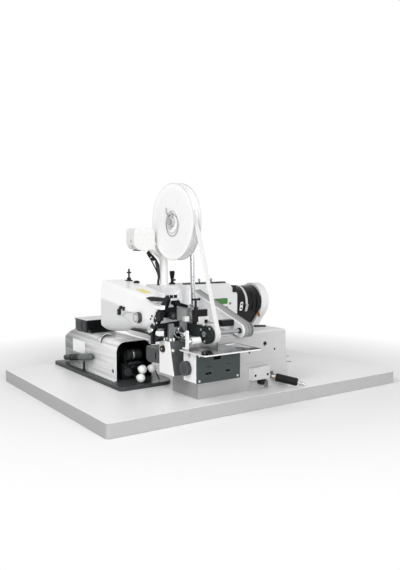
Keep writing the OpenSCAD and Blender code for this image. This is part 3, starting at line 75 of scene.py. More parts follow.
def near(node, fx, fy, fz, dx=0.0, dy=0.0, dz=0.0):
    """A point on a node, moved by a few millimetres."""
    return corner(node, fx, fy, fz) + Vector((dx, dy, dz)) * MM


MM = 0.001
X, Y, Z = Vector((1, 0, 0)), Vector((0, 1, 0)), Vector((0, 0, 1))
table_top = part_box("table_plate")[1].z
print("table top stands at", round(table_top, 4), "m")

# %% [markdown]
# ## The camera
# The machine is seen from its left front corner, a little above the work plate. A camera looks
# along its own minus Z axis, so `to_track_quat` turns that axis along the wanted direction and
# keeps Y upright. The lens is about that of the eye, from two metres away, so the upright edges
# stay nearly parallel.

# %% Camera
camera_data = bpy.data.cameras.new("camera")
camera = bpy.data.objects.new("camera", camera_data)
bpy.context.scene.collection.objects.link(camera)
camera_data.lens = 39.45
camera_data.sensor_width = 36.0
camera.location = (-1.220, -1.772, 0.490)   # two metres from the machine, at the reel's height

turn, dip = math.radians(34.69), math.radians(4.05)
forward = Vector((math.sin(turn) * math.cos(dip), math.cos(turn) * math.cos(dip), -math.sin(dip)))
camera.rotation_euler = forward.to_track_quat("-Z", "Y").to_euler()
bpy.context.scene.camera = camera
bpy.context.scene.view_settings.view_transform = "Standard"
print("camera looks along", [round(v, 3) for v in forward])

# %% [markdown]
# ## Shader maths as plain expressions
# A finish is a graph of nodes. Linking nodes by hand hides the idea behind it, so this small
# class wraps one socket and lets Python's own operators add the Math nodes. `1 - mask` works as
# well as `mask - 1`, because the reflected forms are there too.

# %% One socket, with operators
class Wire:
    def __init__(self, tree, socket):
        self.tree, self.socket = tree, socket

    def add(self, kind, settings, out, **sockets):
        return add_node(self.tree, kind, settings, out, **sockets)

    def maths(self, operation, a, b=0.0):
        return add_node(self.tree, "ShaderNodeMath", {"operation": operation}, 0, _0=a, _1=b)

    def __add__(self, other):
        return self.maths("ADD", self, other)

    def __sub__(self, other):
        return self.maths("SUBTRACT", self, other)

    def __rsub__(self, other):
        return self.maths("SUBTRACT", other, self)

    def __mul__(self, other):
        return self.maths("MULTIPLY", self, other)

    def __truediv__(self, other):
        return self.maths("DIVIDE", self, other)

    def __pow__(self, other):
        return self.maths("POWER", self, other)

    def __gt__(self, other):
        return self.maths("GREATER_THAN", self, other)

    def __lt__(self, other):
        return self.maths("LESS_THAN", self, other)

    def clamped(self):
        wire = self.maths("MULTIPLY", self, 1.0)
        wire.socket.node.use_clamp = True
        return wire

    __radd__ = __add__
    __rmul__ = __mul__


# %% [markdown]
# Every other node comes from one function. It sets the node's own settings first, because some of
# them change which sockets exist, and then fills the sockets with numbers or links. A socket is
# named by its label, or by its place as `_0`, `_1` where labels repeat.

# %% One function for every node
def add_node(tree, kind, settings, out, **sockets):
    node = tree.nodes.new(kind)
    for key, value in settings.items():
        if key == "stops":
            fill_ramp(node.color_ramp, value)
        else:
            setattr(node, key, value)
    for key, value in sockets.items():
        slot = node.inputs[int(key[1:])] if key.startswith("_") else node.inputs[key.replace("_", " ")]
        if isinstance(value, Wire):
            tree.links.new(value.socket, slot)
        else:
            slot.default_value = value
    return Wire(tree, node.outputs[out])


def fill_ramp(ramp, stops):
    while len(ramp.elements) < len(stops):
        ramp.elements.new(0.5)
    for element, (place, shade) in zip(ramp.elements, stops):
        element.position = place
        element.color = (shade, shade, shade, 1.0) if isinstance(shade, float) else (*shade, 1.0)


def mix_colour(tree, factor, a, b):
    """Colours go through a Mix node: a Math node would turn them grey."""
    return add_node(tree, "ShaderNodeMix", {"data_type": "RGBA"}, 2, _0=factor, _6=colour(a), _7=colour(b))


def colour(value):
    return value if isinstance(value, Wire) else (*value, 1.0)


# %% [markdown]
# ## A finish starts from one shader
# `Finish` holds a material and its Principled shader. It keeps the colour, the roughness and the
# metal share as running values, so that each later step can cover a part of what is there, the
# way one coat of paint goes over another. `done` links them at the end.
#
# Castings have no knife edges. A Bevel node returns the normal that a rounded edge would have,
# so every corner catches a thin line of light, and where that normal leaves the flat one, the
# edge is: this difference tells where paint wears first.

# %% The finish class
class Finish:
    def __init__(self, name, shade, rough=0.4, metal=0.0, edge_mm=0.8, **constants):
        self.material = bpy.data.materials.new(name)
        self.material.use_nodes = True
        self.tree = self.material.node_tree
        self.shader = self.tree.nodes["Principled BSDF"]
        self.place = self.add("ShaderNodeTexCoord", {}, "Object")
        self.shade, self.rough, self.metal, self.height = shade, rough, metal, None
        self.soft_normal = self.add("ShaderNodeBevel", {"samples": 4}, 0,
                                    Radius=edge_mm * MM) if edge_mm else None
        for key, value in constants.items():
            self.shader.inputs[key.replace("_", " ")].default_value = value

    def add(self, kind, settings, out, **sockets):
        return add_node(self.tree, kind, settings, out, **sockets)

    def vector(self, operation, a, b=(0.0, 0.0, 0.0), out=0):
        return self.add("ShaderNodeVectorMath", {"operation": operation}, out, _0=a, _1=b)

    def axis(self, which, vector=None):
        return self.add("ShaderNodeSeparateXYZ", {}, which, Vector=vector or self.place)

    def noise(self, size_mm, detail=3.0, stretch=(1.0, 1.0, 1.0)):
        place = self.vector("MULTIPLY", self.place, stretch)
        return self.add("ShaderNodeTexNoise", {}, 0, Vector=place, Scale=1.0 / (size_mm * MM),
                        Detail=detail)

    def edges(self, gain=7.0):
        normal = self.add("ShaderNodeNewGeometry", {}, "Normal")
        return ((1 - self.vector("DOT_PRODUCT", self.soft_normal, normal, "Value")) * gain).clamped()

    def coat(self, mask, shade, rough=None, metal=None):
        """Cover the part where the mask is 1."""
        self.shade = mix_colour(self.tree, mask, self.shade, shade)
        for name, value in (("rough", rough), ("metal", metal)):
            if value is not None:
                setattr(self, name, mask * value + (1 - mask) * getattr(self, name))
        return self

    def done(self, depth_mm=0.05, strength=0.5):
        for socket, value in (("Base Color", colour(self.shade)), ("Roughness", self.rough),
                              ("Metallic", self.metal)):
            if isinstance(value, Wire):
                self.tree.links.new(value.socket, self.shader.inputs[socket])
            else:
                self.shader.inputs[socket].default_value = value
        if self.height is not None:
            extra = {"Normal": self.soft_normal} if self.soft_normal else {}
            bump = self.add("ShaderNodeBump", {}, 0, Height=self.height, Distance=depth_mm * MM,
                            Strength=strength, **extra)
            self.tree.links.new(bump.socket, self.shader.inputs["Normal"])
        print("finish:", self.material.name)
        return self.material


# %% [markdown]
# ## Masks from places
# One node is often painted in two colours: a knob with a brass ring, a cover that is black
# inside. A mask answers "is this point in here?" with 1 or 0. The object coordinate of each node
# is the machine's own frame in metres, so a box or a round spot is given by real places.

# %% Boxes and round spots
def in_box(f, low, high):
    middle, half = (low + high) / 2, (high - low) / 2
    away = f.vector("SUBTRACT", f.vector("ABSOLUTE", f.vector("SUBTRACT", f.place, tuple(middle))),
                    tuple(half))
    x, y, z = (f.axis(k, away) for k in range(3))
    return x.maths("MAXIMUM", x.maths("MAXIMUM", x, y), z) < 0.0


def patch(f, low, a, b, *paint):
    """Paint a box whose corners a and b are given in millimetres from a node's low corner."""
    return f.coat(in_box(f, low + Vector(a) * MM, low + Vector(b) * MM), *paint)


def in_round(f, centre, radius, along):
    """Inside an endless round bar whose axis runs along a unit vector."""
    return distance_from(f, centre, along) < radius


def distance_from(f, centre, along):
    """How far a place is from an axis through the centre."""
    flat = Vector((1, 1, 1)) - along
    offset = f.vector("MULTIPLY", f.vector("SUBTRACT", f.place, tuple(centre)), tuple(flat))
    return f.vector("LENGTH", offset, out="Value")


def wave(value, pitch_mm):
    """A sine along a length in metres, which comes back after every pitch."""
    return value.maths("SINE", value * (2 * math.pi / (pitch_mm * MM)))


# %% [markdown]
# ## Enamel on cast iron
# The castings wear a thick, light enamel. Up close it has the skin of an orange, and a film of
# dust and oil that makes some places duller. The paint is thin on the edges, so they are a touch
# brighter and, on the dark parts, rubbed to the primer here and there.

# %% Enamel
def enamel(name, shade, rough=0.32, dust=0.04, rub=0.0, primer=(0.33, 0.33, 0.33), skin_mm=1.1):
    f = Finish(name, shade, edge_mm=1.2, Specular_IOR_Level=0.4 if max(shade) > 0.2 else 0.2)
    cloud = f.noise(90, 4)
    f.shade = mix_colour(f.tree, f.noise(35, 5), [min(1.0, v * (1 + dust / 2)) for v in shade],
                         [v * (1 - dust) for v in shade])
    f.rough = (rough + (cloud - 0.5) * dust * 3 + f.noise(1.2, 1) * 0.04).clamped()
    if rub:
        worn = f.edges() * ((f.noise(6, 4) - 0.52 + rub) * 6).clamped()
        f.coat(worn, primer, rough + 0.1)
    f.height = f.noise(skin_mm, 2)
    return f


# %% [markdown]
# ## Laminate
# The table plate is covered with a hard, pale laminate. It is almost even, with a very fine grain
# and slow clouds where hands and cloth have rubbed it. Its edge is a darker band, and the holes
# for cables show the board inside.

# %% Laminate
def laminate(name, shade, band):
    f = Finish(name, shade, edge_mm=1.5, Specular_IOR_Level=0.35)
    f.shade = mix_colour(f.tree, f.noise(1.5, 2), shade, [v * 0.97 for v in shade])
    f.rough = (0.40 + (f.noise(60, 3) - 0.5) * 0.16).clamped()
    upright = f.axis(2) < table_top - 0.6 * MM
    f.coat(upright, mix_colour(f.tree, f.noise(3, 3, (1, 1, 0.2)), band, [v * 0.9 for v in band]), 0.55)
    f.height = f.noise(0.7, 2)
    return f


# %% [markdown]
# ## Machined and blackened steel
# A cutter or a belt leaves fine lines in one direction. The noise is squeezed along that
# direction, which draws it out into scratches, and drives both roughness and bump. Blackened
# steel rubs bright along its edges.

# %% Steel
def steel(name, shade, rough=0.3, stretch=(1.0, 1.0, 12.0), metal=1.0, rub=0.0, bright=(0.6, 0.6, 0.6)):
    f = Finish(name, shade, metal=metal, edge_mm=0.5, Specular_IOR_Level=0.5 if metal > 0.5 else 0.15)
    lines = f.noise(4.0, 3, stretch)
    f.shade = mix_colour(f.tree, f.noise(14, 4), shade, [v * 0.86 for v in shade])
    f.rough = (rough + (lines - 0.5) * 0.22).clamped()
    if rub:
        f.coat(f.edges() * ((f.noise(9, 5) - 0.5 + rub) * 5).clamped(), bright)
    f.height = lines
    return f


# %% [markdown]
# ## Moulded plastic and rubber
# Black plastic is never quite black: it catches light on a fine grain. White plastic is smoother
# and glossier, and rubber is the dullest of them.

# %% Plastic
def plastic(name, shade, rough=0.42, grain_mm=0.6, vary=0.1, **constants):
    f = Finish(name, shade, edge_mm=0.6, Specular_IOR_Level=0.45 if max(shade) > 0.1 else 0.18, **constants)
    f.shade = mix_colour(f.tree, f.noise(22, 4), shade, [v * (1 - vary) for v in shade])
    f.rough = (rough + (f.noise(7, 3) - 0.5) * 0.14).clamped()
    f.height = f.noise(grain_mm, 1)
    return f


# %% [markdown]
# ## Shades in one place
# The same few paints come back all over the machine, so they are named once, as linear colour.

# %% Shades
# The arm's shade is the white enamel made darker: painted shade for the arm's faces.
WHITE, ARM_SHADED_WHITE = (0.86, 0.86, 0.868), (0.72, 0.72, 0.73)
BED_GREY, SHEET_GREY = (0.48, 0.48, 0.485), (0.50, 0.505, 0.51)
DARK_GREY, BLACK = (0.085, 0.092, 0.092), (0.008, 0.009, 0.010)
STEEL, BRIGHT, BRASS = (0.42, 0.43, 0.44), (0.72, 0.72, 0.72), (0.60, 0.36, 0.08)
dress = {}
print("white enamel:", WHITE)

# %% [markdown]
# ## The castings
# Head, arm and bed share one enamel in three tints; the arm's tint is the head's white made
# darker, as painted shade. The head's flank has painted shade below a line that falls to the front,
# and the bed has painted shade towards its column and a painted highlight on its top faces. The
# bed's oil hole and screw holes are deep, and their dark inside is painted shade, which a mask
# shows better than light alone can: a round spot that starts a fraction of a millimetre behind the
# front face.

# %% Castings
f = enamel("head_enamel", WHITE, 0.28)
low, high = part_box("head_casting")
# Painted shade on the head's flank: darker below a line that falls towards the front, at its rear and left.
from_rear = high.y - f.axis(1)
below = ((high.z - 56 * MM - from_rear * from_rear * 0.55 - f.axis(2)) / (6 * MM)).clamped()
rear = ((f.axis(1) - low.y - 60 * MM) / (60 * MM)).clamped()
f.coat(below * rear * (f.axis(0) < low.x + 40 * MM), (0.69, 0.695, 0.695))
dress["head_casting"] = f.done()
# The arm's enamel is a darker copy of the head's white, as painted shade.
dress["arm_casting"] = enamel("arm_enamel", ARM_SHADED_WHITE, 0.32).done()

# %% Bed
f = enamel("bed_enamel", BED_GREY, 0.38, 0.06)
front = corner("bed_casting", 0, 0, 0).y + 2.6 * MM
behind = f.axis(1) > front
# Painted shade inside the oil hole and the two screw holes.
for dx, dz, radius in ((178, 137, 7.6), (117, 116, 4.0), (217, 117, 4.0)):
    spot = near("bed_casting", 0, 0, 0, 72 + dx, 0, dz)
    f.coat(in_round(f, spot, radius * MM, Y) * behind * (f.axis(1) < front + 40 * MM),
           (0.012, 0.012, 0.012), 0.7)
low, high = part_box("bed_casting")
# Painted shade towards the column and the bottom, and a painted highlight on the top faces.
to_right = ((f.axis(0) - high.x + 210 * MM) / (170 * MM)).clamped()
upper = ((f.axis(2) - low.z) / (150 * MM)).clamped()
f.coat((1 - to_right) * (1 - upper * 0.4), [v * 0.66 for v in BED_GREY])
f.coat(f.axis(2, f.add("ShaderNodeTexCoord", {}, "Normal")) > 0.7, [v * 1.32 for v in BED_GREY])
dress["bed_casting"] = f.done()

f = enamel("end_cover_enamel", [v * 1.06 for v in BED_GREY], 0.34, 0.05)
# Painted shade inside the end cover's two holes.
for dx, dz in ((18, 14), (66, 13)):
    spot = near("bed_end_cover", 0, 0, 0, dx, 0, dz)
    f.coat(in_round(f, spot, 4.3 * MM, Y) * (f.axis(1) > spot.y + 0.4 * MM), (0.012, 0.012, 0.012), 0.7)
dress["bed_end_cover"] = f.done()
print("bed holes start", round(front, 4), "m along Y")

# %% [markdown]
# ## The tunnel cover
# This is bent sheet steel, grey outside and black inside, with a bright rim where the paint was
# cut. The outside is painted with reflections: dark at the back and pale towards the mouth, with
# streaks, light and dark bands along the rounded top and a painted highlight on the ridge. The
# black inside is painted shade. Inside and outside are told apart by the surface's own normal:
# outside it points away from the tunnel's middle line, inside it points towards it, and on the rim
# it does neither.

# %% Tunnel cover
f = enamel("cover_enamel", SHEET_GREY, 0.26, 0.07, skin_mm=0.8)
middle = corner("motor_cover", 0.5, 0.5, 0.45)
outward = f.vector("MULTIPLY", f.vector("SUBTRACT", f.place, tuple(middle)), (1, 0, 1))
turned_out = f.vector("DOT_PRODUCT", outward, f.add("ShaderNodeTexCoord", {}, "Normal"), "Value")
low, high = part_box("motor_cover")
height_share = (f.axis(2) - low.z) / (high.z - low.z)
# Painted reflection: streaks, and a gradient from dark at the back to pale towards the mouth.
reflection_streaks = (f.noise(13, 4, (1.0, 0.06, 1.0)) - 0.5) * 1.1
to_mouth = 1 - ((f.axis(1) - low.y) / (0.85 * (high.y - low.y))).clamped()
f.shade = mix_colour(f.tree, (0.12 + to_mouth ** 0.7 * 0.92 + reflection_streaks).clamped(), (0.17, 0.175, 0.18),
                     (0.80, 0.80, 0.805))
# Painted reflection: light and dark bands along the rounded top corner.
band = add_node(f.tree, "ShaderNodeValToRGB", {"stops": (
    (0.0, 0.0), (0.70, 0.0), (0.76, 0.75), (0.80, 0.0), (0.84, 0.0), (0.885, 1.0), (0.92, 0.0),
    (1.0, 0.35))}, 0, Fac=height_share + reflection_streaks * 0.03)
reflected_dark_band = add_node(f.tree, "ShaderNodeValToRGB", {"stops": (
    (0.0, 0.0), (0.78, 0.0), (0.82, 0.8), (0.86, 0.0), (0.93, 0.7), (0.97, 0.15), (1.0, 0.0))}, 0,
    Fac=height_share + reflection_streaks * 0.04)
f.coat(f.axis(0, reflected_dark_band) * 0.6, (0.22, 0.225, 0.23))
f.coat(f.axis(0, band) * (0.25 + to_mouth * 0.6), (0.84, 0.84, 0.84))
# A painted highlight along the ridge, towards the mouth.
f.coat((height_share > 0.955) * to_mouth * (0.5 + reflection_streaks).clamped(), (0.86, 0.86, 0.86))
tunnel = in_box(f, low + Vector((10, 0, 0)) * MM, high - Vector((1, 1, 11.5)) * MM)
# Painted shade: the inside of the tunnel and the front edges within it are black.
f.coat((turned_out < -2 * MM) * tunnel, (0.006, 0.006, 0.007), 0.6)
f.coat((f.axis(1) < low.y + 0.3 * MM) * tunnel, (0.012, 0.012, 0.012), 0.5)
# A pale patch on the top near the front.
grip = low + Vector((38, 108, 116)) * MM
f.coat(in_box(f, grip + Vector((-32, -64, -4)) * MM, grip + Vector((32, -28, 30)) * MM), (0.80, 0.80, 0.80))
dress["motor_cover"] = f.done()
print("cover:", [round((b - a) / MM) for a, b in zip(low, high)], "mm")

# %% Lid of the control box
f = enamel("lid_enamel", (0.70, 0.71, 0.70), 0.35, 0.12)
low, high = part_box("control_box_lid")
f.coat(f.axis(2) < high.z - 0.6 * MM, (0.02, 0.022, 0.022), 0.4)
dress["control_box_lid"] = f.done()

# %% [markdown]
# ## Dark housings
# The drive's base plate, the metering cover and the column are painted dark. Dark paint shows
# every rub, so its edges wear to a paler primer.

# %% Housings
dress["left_base_plate"] = enamel("base_satin", (0.045, 0.048, 0.050), 0.33, 0.2, 0.10,
                                  (0.25, 0.25, 0.25)).done()
f = enamel("housing_enamel", DARK_GREY, 0.42, 0.12, 0.04, (0.35, 0.35, 0.35))
screw = near("column_housing", 0, 0, 0.74, 6, 18, 0)
f.coat(in_round(f, screw, 4.6 * MM, Y) * (f.axis(1) < screw.y + 2.4 * MM), WHITE, 0.3)
dress["column_housing"] = f.done()
f = enamel("side_housing_enamel", (0.075, 0.082, 0.082), 0.42, 0.12, 0.08, (0.35, 0.35, 0.35))
low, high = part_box("side_housing")
# A painted highlight along the top edge.
f.coat(f.axis(2) > high.z - 5 * MM, (0.16, 0.17, 0.17), 0.4)
# Painted shade: the inside of the recess on the left side is black.
recess = in_box(f, low + Vector((0.4, 12, 4)) * MM, low + Vector((4.4, 34, 34)) * MM)
f.coat((f.axis(0) > low.x + 0.5 * MM) * recess, BLACK, 0.7)
dress["side_housing"] = f.done()
dress["column_side_plate"] = enamel("side_plate_white", WHITE, 0.3, 0.03).done()

# %% Metering box
f = enamel("metering_dark", (0.042, 0.052, 0.052), 0.36, 0.15, 0.06, (0.25, 0.25, 0.25))
low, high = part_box("metering_cover")
# Painted shade: behind the front face, inside its border, the grooves are black.
inner = in_box(f, low + Vector((4, 0, 4)) * MM, high - Vector((4, 0, 3)) * MM)
f.coat((f.axis(1) > low.y + 0.4 * MM) * inner, (0.006, 0.007, 0.007), 0.6)
dress["metering_cover"] = f.done()
f = enamel("metering_white", WHITE, 0.3, 0.03)
spot = near("metering_box", 0, 0, 1, 0, 35, -11)
ring = in_round(f, spot, 7.2 * MM, X) * (1 - in_round(f, spot, 5.4 * MM, X))
f.coat((ring + in_round(f, spot, 3.0 * MM, X)).clamped() * (f.axis(0) < spot.x + 2.2 * MM),
       (0.20, 0.20, 0.20), 0.5)
dress["metering_box"] = f.done()

# %% [markdown]
# ## Plates, shafts and screws
# The work plate is ground and polished by the cloth that slides over it. Its narrow edges are
# painted pale as a painted highlight, and paler streaks on its top are painted reflection.

# %% Bright metal
f = steel("plate_steel", (0.30, 0.305, 0.31), 0.13, (1.0, 9.0, 1.0))
low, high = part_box("work_plate")
# A painted highlight: the narrow edges are pale.
f.coat(f.axis(2) < high.z - 0.5 * MM, (0.74, 0.74, 0.74), 0.35, 0.2)
# Painted reflection: paler streaks along the top.
plate_reflection = ((f.noise(26, 3, (1.0, 3.5, 1.0)) - 0.52) * 5).clamped() * (f.axis(2) > high.z - 0.5 * MM)
f.coat(plate_reflection * 0.7, (0.70, 0.70, 0.70), 0.22, 0.9)
dress["work_plate"] = f.done(0.02)
dress["plate_insert"] = steel("insert_steel", (0.52, 0.53, 0.54), 0.16, (1.0, 9.0, 1.0)).done(0.02)
shaft_steel = steel("shaft_steel", STEEL, 0.26, (12.0, 1.0, 1.0)).done(0.03)
needle_steel = steel("needle_steel", (0.66, 0.67, 0.68), 0.18, (1.0, 8.0, 1.0)).done(0.02)
zinc = steel("zinc", BRIGHT, 0.28, (1.0, 1.0, 1.0)).done(0.03)
dress.update(feed_shaft=shaft_steel, arm_pulley=shaft_steel, curved_needle=needle_steel,
             needle_lever=needle_steel)
dress["cover_screws"] = zinc
dress["motor_band"] = steel("band_steel", (0.66, 0.67, 0.68), 0.24, (1.0, 1.0, 1.0)).done(0.04)
dress["reel_post"] = steel("post_steel", (0.50, 0.51, 0.52), 0.22, (6.0, 6.0, 1.0)).done(0.03)
dress["lever_shaft"] = steel("lever_steel", (0.60, 0.60, 0.60), 0.24).done(0.03)

# %% [markdown]
# ## The blackened mechanism
# One frame carries dark plates, a pale top bar, a white block and bright screws. The dark steel is
# the ground coat, and each of the others is a box-shaped mask over it.

# %% Mechanism
f = steel("frame_black", (0.006, 0.007, 0.009), 0.34, metal=0.25, rub=0.10, bright=(0.30, 0.31, 0.33))
low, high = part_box("mechanism_frame")
patch(f, low, (29, 45, 127), (82, 67, 133.5), (0.60, 0.60, 0.61), 0.35, 0.3)
patch(f, low, (40, 55, 107), (70, 67, 128), (0.45, 0.45, 0.46), 0.35, 0.5)
patch(f, low, (-1, 12, 106), (12.5, 60, 118), WHITE, 0.35)
patch(f, low, (-1, 50, 30), (11.8, 110, 70), (0.62, 0.63, 0.64), 0.25, 0.9)
patch(f, low, (40, 37, 11.2), (68, 50, 22), BRIGHT, 0.25, 0.9)
teeth = wave(f.axis(0), 8.5) > -0.1
f.coat(in_box(f, low + Vector((33, 57, 4)) * MM, low + Vector((66, 61, 21)) * MM) * teeth,
       (0.80, 0.80, 0.80), 0.3, 0.3)
# Painted reflection on the rail's lower part: grey at the front, paler towards the back, with streaks.
rail = (f.axis(1) > low.y + 92 * MM) * (f.axis(2) < low.z + 24.5 * MM)
rail_reflection = ((f.axis(1) - low.y - 92 * MM) / (150 * MM)).clamped()
f.coat(rail, mix_colour(f.tree, (rail_reflection + (f.noise(10, 3, (1, 0.1, 1)) - 0.5) * 0.5).clamped(),
                        (0.30, 0.305, 0.31), (0.62, 0.62, 0.62)), 0.3)
dress["mechanism_frame"] = f.done(0.04)
dress["ball_lever"] = plastic("lever_black", BLACK, 0.22).done()

# %% Bracket and guard sheet
f = enamel("bracket_grey", (0.19, 0.205, 0.21), 0.40, 0.1, 0.05, (0.5, 0.5, 0.5))
low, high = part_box("frame_bracket")
f.coat(f.axis(2) > low.z + 54.2 * MM, WHITE, 0.35)
dress["frame_bracket"] = f.done()
f = enamel("guard_grey", (0.27, 0.29, 0.29), 0.30, 0.1)
low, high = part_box("guard_sheet")
# Painted shade across the sheet: dark a little right of its left strip, paler to the right; the strip
# itself is pale metal.
across = ((f.axis(0) - low.x - 52 * MM) / (58 * MM)).clamped()
f.shade = mix_colour(f.tree, across, (0.13, 0.142, 0.142), (0.42, 0.43, 0.43))
f.coat(f.axis(0) < low.x + 58 * MM, (0.42, 0.43, 0.44), 0.25, 0.4)
dress["guard_sheet"] = f.done()

# %% Feed carrier, guides and drive
f = steel("carrier_black", (0.020, 0.025, 0.026), 0.38, metal=0.3, rub=0.04, bright=(0.2, 0.21, 0.21))
low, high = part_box("feed_carrier")
for dy, dz in ((32.3, 7), (50.8, 38.5), (8.3, 45.5)):
    f.coat(in_round(f, low + Vector((0, dy, dz)) * MM, 3.2 * MM, X) * (f.axis(0) < low.x + 1.9 * MM),
           BRIGHT, 0.3, 0.8)
dress["feed_carrier"] = f.done(0.04)
dress["guide_post"] = plastic("guide_black", (0.010, 0.010, 0.012), 0.35).done()
dress["thread_guides"] = steel("guides_black", (0.022, 0.022, 0.024), 0.35, metal=0.4, rub=0.12,
                               bright=(0.25, 0.25, 0.26)).done(0.04)

f = steel("drive_black", (0.012, 0.014, 0.015), 0.35, metal=0.3, rub=0.12, bright=(0.22, 0.23, 0.24))
low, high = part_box("drive_motor")
patch(f, low, (0, 60, 0), (78, 72.0, 60), (0.045, 0.05, 0.053), 0.4, 0.2)
dress["drive_motor"] = f.done(0.05)
f = plastic("drum_black", (0.030, 0.032, 0.034), 0.45)
low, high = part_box("drive_pulley")
f.coat((f.axis(0) > low.x + 29 * MM) * (f.axis(0) < low.x + 34 * MM), (0.66, 0.66, 0.66), 0.25, 0.8)
dress["drive_pulley"] = f.done()

# %% [markdown]
# ## Knobs, rollers and grips
# White moulded balls, black knurled knobs, a ribbed rubber grip. The column's knob has a brass
# ring behind it, and the head's tension wheel has a pale face inside a dark rim.

# %% Knobs
ball_white = plastic("ball_white", (0.90, 0.90, 0.90), 0.16, vary=0.02).done(0.02)
dress.update(clamp_knob_1=ball_white, clamp_knob_2=ball_white, clamp_knob_3=ball_white)
part_white = plastic("part_white", (0.82, 0.82, 0.81), 0.30, vary=0.04).done(0.03)
dress.update(guide_block=part_white, feed_wheel=part_white, lamp_post=part_white)
knob_black = plastic("knob_black", (0.012, 0.012, 0.014), 0.36).done()
dress.update(bed_knob=knob_black, thumbscrew=knob_black, bed_cap=knob_black)
f = plastic("roller_white", (0.82, 0.82, 0.81), 0.30, vary=0.04)
low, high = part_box("guide_roller")
# Painted shade: a black spot in the middle of the roller's left face, at its bore.
f.coat(in_round(f, (low + high) / 2, 3.6 * MM, X) * (f.axis(0) < low.x + 3 * MM), BLACK, 0.5)
dress["guide_roller"] = f.done(0.03)
dress["roller_bracket"] = enamel("bracket_white", WHITE, 0.3, 0.04).done()
dress["lever_grip"] = plastic("grip_rubber", (0.010, 0.011, 0.011), 0.50, 1.8, 0.2).done(0.2)
dress["lamp_cable"] = plastic("cable_sheath", (0.008, 0.008, 0.008), 0.42, 2.0).done(0.1)

# %% Dials and wheels
f = plastic("dial_grey", (0.050, 0.052, 0.054), 0.38)
low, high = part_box("metering_knob")
f.coat((f.axis(0) < low.x + 0.5 * MM) * (distance_from(f, (low + high) / 2, X) > 15 * MM),
       (0.085, 0.088, 0.09), 0.3)
dress["metering_knob"] = f.done()
f = steel("column_dial", (0.055, 0.052, 0.048), 0.32, metal=0.5)
low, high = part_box("column_knob")
f.coat((f.axis(0) > low.x + 6.8 * MM), BRASS, 0.25, 0.9)
dress["column_knob"] = f.done(0.03)
f = steel("tension_wheel", (0.10, 0.098, 0.095), 0.36, (1.0, 1.0, 1.0), 0.6)
low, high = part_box("thumbwheel")
f.coat(f.axis(0) < low.x + 0.7 * MM, mix_colour(f.tree, f.noise(3, 2), (0.70, 0.69, 0.67),
                                                (0.5, 0.5, 0.49)), 0.3, 0.3)
dress["thumbwheel"] = f.done(0.03)

# %% Clip and adjuster
f = plastic("clip_black", (0.014, 0.014, 0.016), 0.34)
low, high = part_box("head_clip")
f.coat(in_round(f, low + Vector((0, 31.5, 9)) * MM, 2.9 * MM, X) * (f.axis(0) > low.x + 1.8 * MM)
       * (f.axis(0) < low.x + 2.4 * MM), (0.5, 0.5, 0.5), 0.3)
dress["head_clip"] = f.done()
f = plastic("adjuster_black", (0.012, 0.012, 0.013), 0.34)
low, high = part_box("adjusting_knob")
f.coat(in_round(f, (low + high) / 2, 6.5 * MM, Y) * (f.axis(1) < low.y + 2.2 * MM), (0.055, 0.056, 0.058),
       0.35)
dress["adjusting_knob"] = f.done()

# %% Cable connector
f = plastic("connector_black", (0.012, 0.012, 0.013), 0.4)
low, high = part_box("cable_connector")
# Painted reflection: the front of the connector's top is pale and greenish.
pale = ((low.y + 96 * MM - f.axis(1)) / (22 * MM)).clamped() * (f.axis(2) > low.z + 32 * MM)
f.coat(pale, mix_colour(f.tree, f.noise(9, 3), (0.045, 0.058, 0.055), (0.15, 0.175, 0.17)), 0.3)
rings = wave(f.axis(1), 9)
f.coat((rings > 0.75) * (1 - pale) * (f.axis(2) > low.z + 30 * MM), (0.07, 0.072, 0.075), 0.3)
dress["cable_connector"] = f.done()

# %% Lamp head
f = plastic("lamp_white", (0.70, 0.70, 0.695), 0.28, vary=0.03)
low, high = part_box("lamp_head")
for dz in (12.5, 28):
    slot = low + Vector((0, 20, dz)) * MM
    f.coat(in_box(f, slot + Vector((-2, -2.2, -4)) * MM, slot + Vector((9, 2.2, 4)) * MM), BLACK, 0.5)
dress["lamp_head"] = f.done()

# %% [markdown]
# ## The control box
# A dark moulded box under a pale lid. A paler panel covers the back half of its side, and a small
# window sits in the front half.

# %% Control box
f = plastic("control_dark", (0.006, 0.007, 0.008), 0.30)
low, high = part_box("control_box")
f.coat((f.axis(1) > low.y + 84 * MM) * (f.axis(2) > low.z + 1 * MM),
       mix_colour(f.tree, f.noise(5, 2, (1, 1, 0.05)), (0.028, 0.033, 0.033), (0.085, 0.095, 0.095)), 0.35)
patch(f, low, (-1, 50, 8), (3, 66, 31), (0.050, 0.055, 0.055), 0.35)
dress["control_box"] = f.done()

# %% [markdown]
# ## Motor and belt guard
# The motor is black gloss enamel over a casting. The guard on its right is white.

# %% Motor
dress["motor_body"] = enamel("motor_black", (0.006, 0.0065, 0.0065), 0.20, 0.3).done()
dress["belt_guard"] = enamel("guard_white", (0.74, 0.74, 0.75), 0.28, 0.04).done()

# %% [markdown]
# ## The link cover
# The cover of the feed linkage has a white left face. Its rim is bare grey metal, painted across
# its width with light and dark bands, which are painted highlights and painted shade. The bands are
# ranges of the coordinate across the cover.

# %% Link cover
f = enamel("link_white", WHITE, 0.30, 0.04)
low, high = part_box("link_cover")
rim_start = high.x - 31.8 * MM
rim = (f.axis(0) > rim_start) * (f.axis(1) < high.y - 13 * MM)
